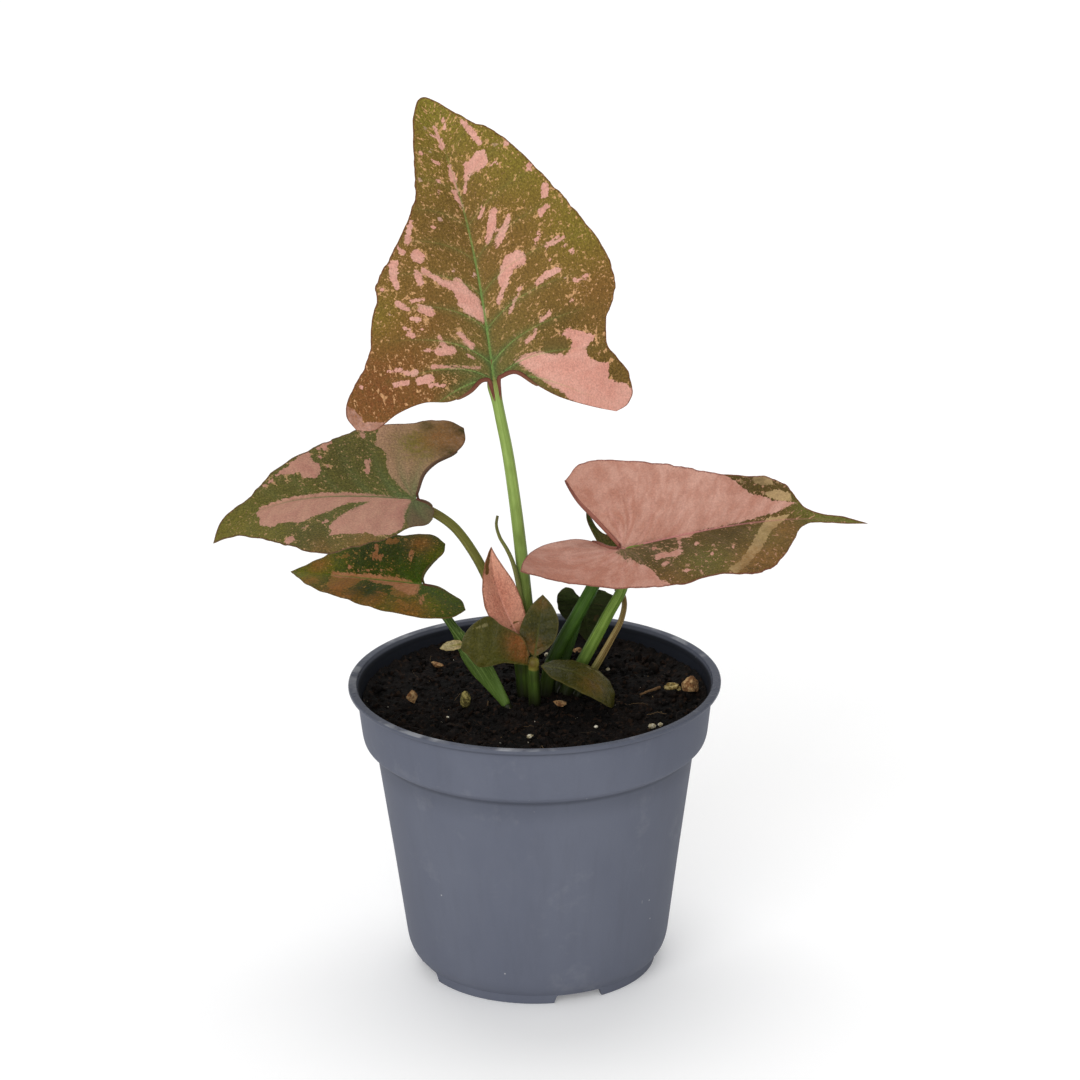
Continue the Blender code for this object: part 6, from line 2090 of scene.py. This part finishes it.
@dataclass(frozen=True)
class Pot:
    """The grower's pot: lip, collar, shoulder, tapering body and a notched foot with drains.

    outside runs down its outer side and inside up its inner side, as (radius, height, rounding).
    """

    finish: PotFinish = PotFinish()
    outside: tuple = (
        (60.0, 97.0, 0.7), (60.0, 95.8, 0.4), (57.9, 95.2, 0.5), (57.3, 94.4, 0.5),
        (56.6, 88.0, 2.0), (55.7, 80.4, 1.0), (55.2, 78.4, 0.9), (53.2, 76.9, 1.2),
        (51.7, 75.7, 0.8), (51.2, 74.0, 1.0), (46.3, 39.0, 3.0), (43.0, 14.0, 3.0),
        (42.4, 9.5, 2.0), (41.4, 6.5, 1.4), (39.8, 4.2, 1.0), (38.6, 3.2, 0.4),
        (38.2, 0.0, 0.3), (36.3, 0.0, 0.3), (36.0, 3.4, 0.5))
    inside: tuple = (
        (38.6, 4.6, 1.6), (39.5, 6.2, 1.2), (41.2, 9.5, 2.0), (41.8, 14.0, 3.0),
        (45.1, 39.0, 3.0), (50.0, 74.0, 1.0), (50.5, 75.7, 0.8), (52.0, 76.9, 1.2),
        (54.0, 78.4, 0.9), (54.5, 80.4, 1.0), (55.4, 88.0, 2.0), (56.1, 94.6, 1.0),
        (57.1, 96.2, 0.5), (57.4, 97.0, 0.35))
    underside: float = 3.4
    floor: float = 4.6
    sides: int = 288
    notch_turn: float = 20.0
    notches: int = 4
    notch: tuple[float, float, float] = (16.0, 6.0, 5.6)
    notch_place: float = 37.25
    drain_circle: float = 29.0
    drain_radius: float = 4.0
    centre_drain: float = 5.0
    plug: tuple[float, float] = (8.0, 0.2)
    ease: float = 0.4

    def build(self) -> bpy.types.Object:
        """Turn the pot and cut its notches and drains.

        Returns:
            The pot's object.
        """
        profile = rounded(((0.0, self.floor, 0.0), *self.inside, *self.outside,
                           (0.0, self.underside, 0.0)))
        shape = Shape()
        turned(shape, np.array(profile), self.sides)
        pot = shape.build("grower_pot", self.finish.material(), 50.0)
        tidy(pot)
        for number in range(self.notches):
            angle = math.radians(self.notch_turn + number * 360.0 / self.notches)
            out = np.array([math.sin(angle), -math.cos(angle), 0.0])
            self.cut(pot, self.block(out, angle))
            self.cut(pot, self.bore(out * self.drain_circle, self.drain_radius))
        self.cut(pot, self.bore(np.zeros(3), self.centre_drain))
        applied(pot)
        pot.data.shade_smooth()
        pot.data.set_sharp_from_angle(angle=math.radians(42.0))
        return pot

    def cut(self, pot: bpy.types.Object, cutter: bpy.types.Object) -> None:
        """Take a cutter's shape, with eased edges, out of the pot and drop the cutter.

        Args:
            pot: the pot's object.
            cutter: the helper solid.
        """
        bevel = cutter.modifiers.new("ease", "BEVEL")
        bevel.width = self.ease * MM
        bevel.segments = 3
        applied(cutter)
        hole = pot.modifiers.new("cut", "BOOLEAN")
        hole.object = cutter
        hole.operation = "DIFFERENCE"
        hole.solver = "EXACT"
        applied(pot)
        bpy.data.objects.remove(cutter, do_unlink=True)

    def block(self, out: np.ndarray, angle: float) -> bpy.types.Object:
        """A block across the foot ring, with sloping ends.

        Args:
            out: the way out from the axis to it.
            angle: its turn about the axis, in radians.

        Returns:
            The block.
        """
        wide, deep, high = self.notch
        side = np.array([math.cos(angle), math.sin(angle), 0.0])
        corners = []
        for z, spread in ((-0.5 * high, 1.14), (0.5 * high, 0.92)):
            for across, along in ((-1, -1), (1, -1), (1, 1), (-1, 1)):
                corners.append(out * (self.notch_place + 0.5 * deep * along)
                               + side * (0.5 * wide * across * spread) + (0.0, 0.0, z))
        faces = [(3, 2, 1, 0), (4, 5, 6, 7), (0, 1, 5, 4), (1, 2, 6, 5), (2, 3, 7, 6),
                 (3, 0, 4, 7)]
        return self.cutter(np.array(corners), faces)

    def bore(self, centre: np.ndarray, radius: float) -> bpy.types.Object:
        """An upright round plug through the floor.

        Args:
            centre: where it goes through.
            radius: its radius, in mm.

        Returns:
            The plug.
        """
        top, foot = self.plug
        shape = Shape()
        turned(shape, np.array([(0.0, top), (radius, top), (radius, foot), (0.0, foot)]), 48)
        return self.cutter(shape.places[0] + centre, shape.faces)

    @staticmethod
    def cutter(places: np.ndarray, faces: Sequence) -> bpy.types.Object:
        """A helper solid.

        Args:
            places: its points, in mm.
            faces: its faces, as numbers of points.

        Returns:
            The solid's object.
        """
        shape = Shape()
        shape.add(places, faces)
        obj = shape.build("cutter", bpy.data.materials.new("cutter"), sharp=180.0)
        tidy(obj)
        return obj


@dataclass(frozen=True)
class Soil:
    """Dark peat that fills the pot to just under its lip, with crumbs, fibres and pale specks.

    top runs out from the axis as (radius, height) and below it wall runs down the inside of the
    pot. crumbs and specks are how many bits there are, the radius of the middling one and its
    spread as a share, and strewn how far out they lie.
    """

    top: tuple[Flat, ...] = ((0.0, 89.8), (14.0, 89.7), (30.0, 89.3), (44.0, 88.8),
                             (50.0, 89.2), (53.0, 90.6), (55.4, 92.4))
    wall: tuple[Flat, ...] = ((55.0, 88.0), (54.2, 80.3), (53.6, 78.6), (51.6, 77.0),
                              (50.1, 75.8), (49.6, 74.0), (44.7, 39.0), (41.4, 14.0),
                              (40.8, 9.5), (38.6, 4.9))
    rings: int = 118
    sides: int = 620
    crumbs: tuple[int, float, float] = (1500, 0.62, 0.42)
    specks: tuple[int, float, float] = (90, 0.16, 0.4)
    fibres: int = 60
    fibre_points: int = 12
    strewn: float = 54.2

    def height(self, x: np.ndarray, y: np.ndarray) -> np.ndarray:
        """The soil's plain height at places across it."""
        return np.interp(np.hypot(x, y), *zip(*self.top))

    def rough(self, x: np.ndarray, y: np.ndarray) -> np.ndarray:
        """The soil's height with its lumps and pits.

        Args:
            x: places across the pot.
            y: places towards its back.

        Returns:
            The height at each place, in mm.
        """
        spot = np.stack([x, y, np.zeros_like(x)], axis=1)
        broad = lumps(spot, 13.0, 2, 3.1)
        clods = np.abs(lumps(spot, 4.2, 3, 7.7))
        fine = lumps(spot, 1.1, 3, 1.9)
        wall = eased((np.hypot(x, y) - 50.0) / 5.0)
        return self.height(x, y) + broad * 0.6 + 0.2 - clods * 1.5 + fine * 0.4 - wall * 0.4

    def material(self, name: str, lift: float = 0.0) -> bpy.types.Material:
        """Peat: near black, with brown and grey in its crumbs and a faint damp shine.

        Args:
            name: the material's name.
            lift: how many more of its crumbs are brown, as a share.

        Returns:
            The material.
        """
        g = Graph(name, Specular_IOR_Level=0.12)
        place = g.place()
        broad = g.noise(place, 120.0, 3.0, 0.6)
        crumb, pick = g.cells(place, 900.0)
        grit = g.noise(place, 2600.0, 3.0, 0.65)
        colour = g.mix(broad.step(0.38, 0.66), screen(8, 6, 5), screen(20, 14, 11))
        colour = g.mix(pick.step(0.84 - lift, 0.98) * 0.7, colour, screen(46, 31, 21))
        colour = g.mix(grit.step(0.66, 0.80) * 0.4, colour, screen(74, 60, 44))
        colour = g.shade(colour, 0.6 + grit * 0.8)
        height = grit * 0.5 + crumb.step(0.0, 0.6) * 0.5
        return g.finish(colour, 0.86 - broad * 0.14, g.bump(height, 0.0005))

    def bed(self) -> bpy.types.Object:
        """The body of the soil, with its rough top.

        Returns:
            The bed's object.
        """
        edge = self.top[-1][0]
        radii = edge * np.linspace(0.0, 1.0, self.rings + 1)[1:] ** 0.8
        profile = [(0.0, 89.9), *((radius, 88.0) for radius in radii), *self.wall,
                   (0.0, self.wall[-1][1])]
        shape = Shape()
        turned(shape, np.array(profile), self.sides)
        places = shape.places[0]
        count = self.rings * self.sides
        top = places[:count]
        top[:, 2] = self.rough(top[:, 0], top[:, 1])
        return shape.build("soil_bed", self.material("peat"), sharp=80.0)

    def scatter(self, source: np.random.Generator, count: int, reach: float) -> np.ndarray:
        """Random places over the soil.

        Args:
            source: where the random numbers come from.
            count: how many places there are.
            reach: how far out they lie.

        Returns:
            The places, as (x, y).
        """
        radius = reach * np.sqrt(source.uniform(0.0, 1.0, count))
        angle = source.uniform(0.0, TAU, count)
        return np.stack([radius * np.cos(angle), radius * np.sin(angle)], axis=1)

    def bits(self, name: str, sizes: tuple[int, float, float], splits: int, seed: int,
             material: bpy.types.Material) -> bpy.types.Object:
        """Loose bits strewn over the soil.

        Args:
            name: the piece's name.
            sizes: how many there are, their middling radius and its spread.
            splits: how finely each is made.
            seed: which strewing this is.
            material: their finish.

        Returns:
            The bits as one object.
        """
        count, middling, spread = sizes
        source = roll(seed)
        spots = self.scatter(source, count, self.strewn)
        heights = self.rough(spots[:, 0], spots[:, 1])
        ball = Lump(splits)
        shape = Shape()
        for number, (spot, height) in enumerate(zip(spots, heights)):
            size = middling * math.exp(source.normal(0.0, spread))
            size = min(size, 3.2 * middling)
            form = ball.chipped(seed * 997 + number, 9, 9.0) * source.uniform(0.6, 1.25, 3)
            axes = np.linalg.qr(source.normal(size=(3, 3)))[0]
            centre = np.array([*spot, height + 0.25 * size])
            shape.add(form @ axes * size + centre, ball.faces,
                      pick=np.full(len(form), source.uniform()))
        return shape.build(name, material)

    def threads(self) -> bpy.types.Object:
        """Fine roots and fibres that lie on the soil.

        Returns:
            The object that holds them all.
        """
        source = roll(41)
        g = Graph("root_fibre", Specular_IOR_Level=0.3)
        pick = g.value("pick")
        grit = g.noise(g.place(), 900.0, 2.0)
        colour = g.mix((pick + (grit - 0.5) * 0.5).step(0.5, 1.0), screen(30, 20, 13),
                       screen(120, 96, 64))
        material = g.finish(colour, 0.7 + (grit - 0.5) * 0.2, g.bump(grit, 0.0001))
        shape = Shape()
        count = self.fibre_points
        for spot in self.scatter(source, self.fibres, 52.0):
            angle, bend = source.uniform(0.0, TAU), source.normal(0.0, 0.5)
            length, radius = source.uniform(2.0, 7.0), source.uniform(0.04, 0.09)
            turn = angle + bend * np.linspace(-1.0, 1.0, count)
            steps = np.stack([np.cos(turn), np.sin(turn)], axis=1) * length / count
            run = spot + np.cumsum(steps, axis=0)
            run *= np.minimum(1.0, 53.5 / np.maximum(np.hypot(*run.T), TINY))[:, None]
            ground = self.rough(run[:, 0], run[:, 1])
            lift = 0.25 + source.uniform(0.0, 1.2) * np.sin(np.linspace(0.0, math.pi, count))
            line = np.column_stack([run, np.maximum(ground, ground.mean()) + lift])
            before = shape.count
            tube(shape, line, np.full(count, radius), 5)
            shape.values.setdefault("pick", []).append(
                np.full(shape.count - before, source.uniform()))
        return shape.build("soil_fibres", material, sharp=80.0)

    def build(self) -> list[tuple[bpy.types.Object, str]]:
        """Make the soil's pieces, each with its material slot.

        Returns:
            The objects and the names of their slots.
        """
        g = Graph("pale_grit", Specular_IOR_Level=0.3)
        pick = g.value("pick")
        grit = g.noise(g.place(), 2200.0, 2.0)
        colour = g.mix(pick.step(0.25, 0.75), screen(120, 100, 66), screen(206, 200, 184))
        pale = g.finish(g.shade(colour, 0.75 + grit * 0.5), 0.8 + (grit - 0.5) * 0.2,
                        g.bump(grit, 0.0002))
        peat = self.material("peat_crumb", 0.16)
        return [(self.bed(), "soil"),
                (self.bits("soil_crumbs", self.crumbs, 2, 11, peat), "soil"),
                (self.bits("pale_specks", self.specks, 1, 23, pale), "perlite"),
                (self.threads(), "soil")]


SOIL = Soil()


@dataclass(frozen=True)
class Twig:
    """The short twig that lies across the soil."""

    finish: StalkFinish = TWIG_SKIN
    route: tuple = ((34.0, 3.6, 89.9), (36.6, 5.4, 90.3), (40.6, 9.6, 90.0))
    radii: tuple[float, float] = (0.35, 0.5)
    points: int = 60

    def build(self) -> bpy.types.Object:
        """Make the twig, a little crooked and knotty.

        Returns:
            The twig's object.
        """
        line = smooth_line(self.route, self.points)
        line += 0.16 * np.stack([lumps(line, 2.2, 2, seed) for seed in (1.0, 5.0, 9.0)], axis=1)
        radii = np.interp(np.linspace(0.0, 1.0, self.points), (0.0, 1.0), self.radii)
        radii = radii * (1.0 + 0.22 * lumps(line, 1.0, 2, 14.0))
        shape = Shape()
        tube(shape, line, radii, 16, 0.1, 5)
        return shape.build("twig_stick", self.finish.material("twig_skin"), sharp=60.0)


# ------------------------------------------------------------------------------ studio

@dataclass(frozen=True)
class Studio:
    """A plain pale floor, soft light from all round, and the camera.

    aim is the place the camera looks at, from the pot's axis in mm; rise and bank are its
    angles. lamps are (name, place in metres, power), and lit is the place they shine at.
    """

    aim: tuple[float, float, float] = (2.3, 0.0, 144.88)
    rise: float = 20.24
    bank: float = -0.70
    distance: float = 1600.0
    lens: float = 167.4
    sensor: float = 36.0
    floor_size: float = 6.0
    world: float = 0.52
    lamps: tuple = (("overhead_lamp", (-0.05, 0.55, 1.30), 1.05),
                    ("front_lamp", (-0.45, -1.4, 0.78), 1.50))
    spread: float = 50.0
    lit: tuple[float, float, float] = (0.0, 0.0, 0.13)

    def floor(self) -> bpy.types.Object:
        """A wide pale floor under the pot.

        Returns:
            The floor's object.
        """
        g = Graph("studio_floor", Specular_IOR_Level=0.1, Emission_Strength=0.16)
        tint = g.noise(g.place(), 3.0, 2.0)
        g.feed(g.shader.inputs["Emission Color"], (1.0, 1.0, 1.0))
        material = g.finish(g.mix(tint, (0.90, 0.90, 0.90), (0.92, 0.92, 0.92)),
                            0.8 + (tint - 0.5) * 0.1, g.bump(tint, 0.0001))
        half = 0.5 * self.floor_size / MM
        shape = Shape()
        corners = [(-half, -half, -0.05), (half, -half, -0.05), (half, half, -0.05),
                   (-half, half, -0.05)]
        shape.add(np.array(corners), [(0, 1, 2, 3)])
        return shape.build("studio_floor", material, sharp=180.0)

    def camera(self) -> None:
        """Place the camera and make it the scene's own."""
        rise, bank = math.radians(self.rise), math.radians(self.bank)
        ahead = Vector((0.0, math.cos(rise), -math.sin(rise)))
        right = Vector((1.0, 0.0, 0.0))
        up = right.cross(ahead)
        across = right * math.cos(bank) + up * math.sin(bank)
        above = up * math.cos(bank) - right * math.sin(bank)
        data = bpy.data.cameras.new("studio_camera")
        data.lens = self.lens
        data.sensor_width = self.sensor
        data.clip_start = 0.01
        data.dof.use_dof = False
        camera = bpy.data.objects.new("studio_camera", data)
        turn = Matrix((across, above, -ahead)).transposed().to_4x4()
        spot = (Vector(self.aim) + Vector(AXIS / MM) - ahead * self.distance) * MM
        camera.matrix_world = Matrix.Translation(spot) @ turn
        bpy.context.scene.collection.objects.link(camera)
        bpy.context.scene.camera = camera

    def lamp(self, name: str, spot: Sequence[float], power: float) -> None:
        """A broad, even light onto the plant.

        Args:
            name: the lamp's name.
            spot: where it shines from.
            power: how bright it is.
        """
        data = bpy.data.lights.new(name, "SUN")
        data.angle = math.radians(self.spread)
        data.energy = power
        obj = bpy.data.objects.new(name, data)
        aim = Vector(self.lit) - Vector(spot)
        obj.matrix_world = (Matrix.Translation(spot)
                            @ aim.to_track_quat("-Z", "Y").to_matrix().to_4x4())
        bpy.context.scene.collection.objects.link(obj)

    def build(self) -> None:
        """Set up the floor, the light and the camera."""
        self.floor()
        scene = bpy.context.scene
        scene.view_settings.view_transform = "Standard"
        world = bpy.data.worlds.new("studio_air")
        world.use_nodes = True
        air = world.node_tree.nodes["Background"].inputs
        air["Color"].default_value = (1.0, 1.0, 1.0, 1.0)
        air["Strength"].default_value = self.world
        scene.world = world
        for name, spot, power in self.lamps:
            self.lamp(name, spot, power)
        self.camera()


def seat(piece: bpy.types.Object, slot: str, node: str = "") -> None:
    """Let a piece ride on the body and stand for a plain solid.

    Args:
        piece: the piece.
        slot: its material slot; not used.
        node: the plain solid it stands for, if there is one.
    """
    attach(piece, ROOT)
    if node:
        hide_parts(node)
    LOG.info("%s: %d faces", piece.name, len(piece.data.polygons))


def main() -> None:
    """Build every piece in order and light it."""
    logging.basicConfig(level=logging.INFO, format="%(name)s: %(message)s")
    STUDIO.build()
    seat(Pot().build(), "pot_plastic", "pot")
    for piece, slot in SOIL.build():
        seat(piece, slot, "soil" if piece.name == "soil_bed" else "")
    seat(Crown().build(), "stem_green", "crown")
    for stalk in STALKS:
        seat(stalk.build(), stalk.slot, stalk.name)
    for leaf in LEAVES:
        seat(leaf.build(), leaf.slot, leaf.name)
    for rim in RIMS:
        seat(rim.build(), rim.stalk.leaf.slot)
    for grain in grains():
        seat(grain.build(), grain.slot, grain.node)
    seat(Twig().build(), "dry_straw", "twig")
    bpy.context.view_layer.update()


STUDIO = Studio()

if __name__ == "__main__":
    main()
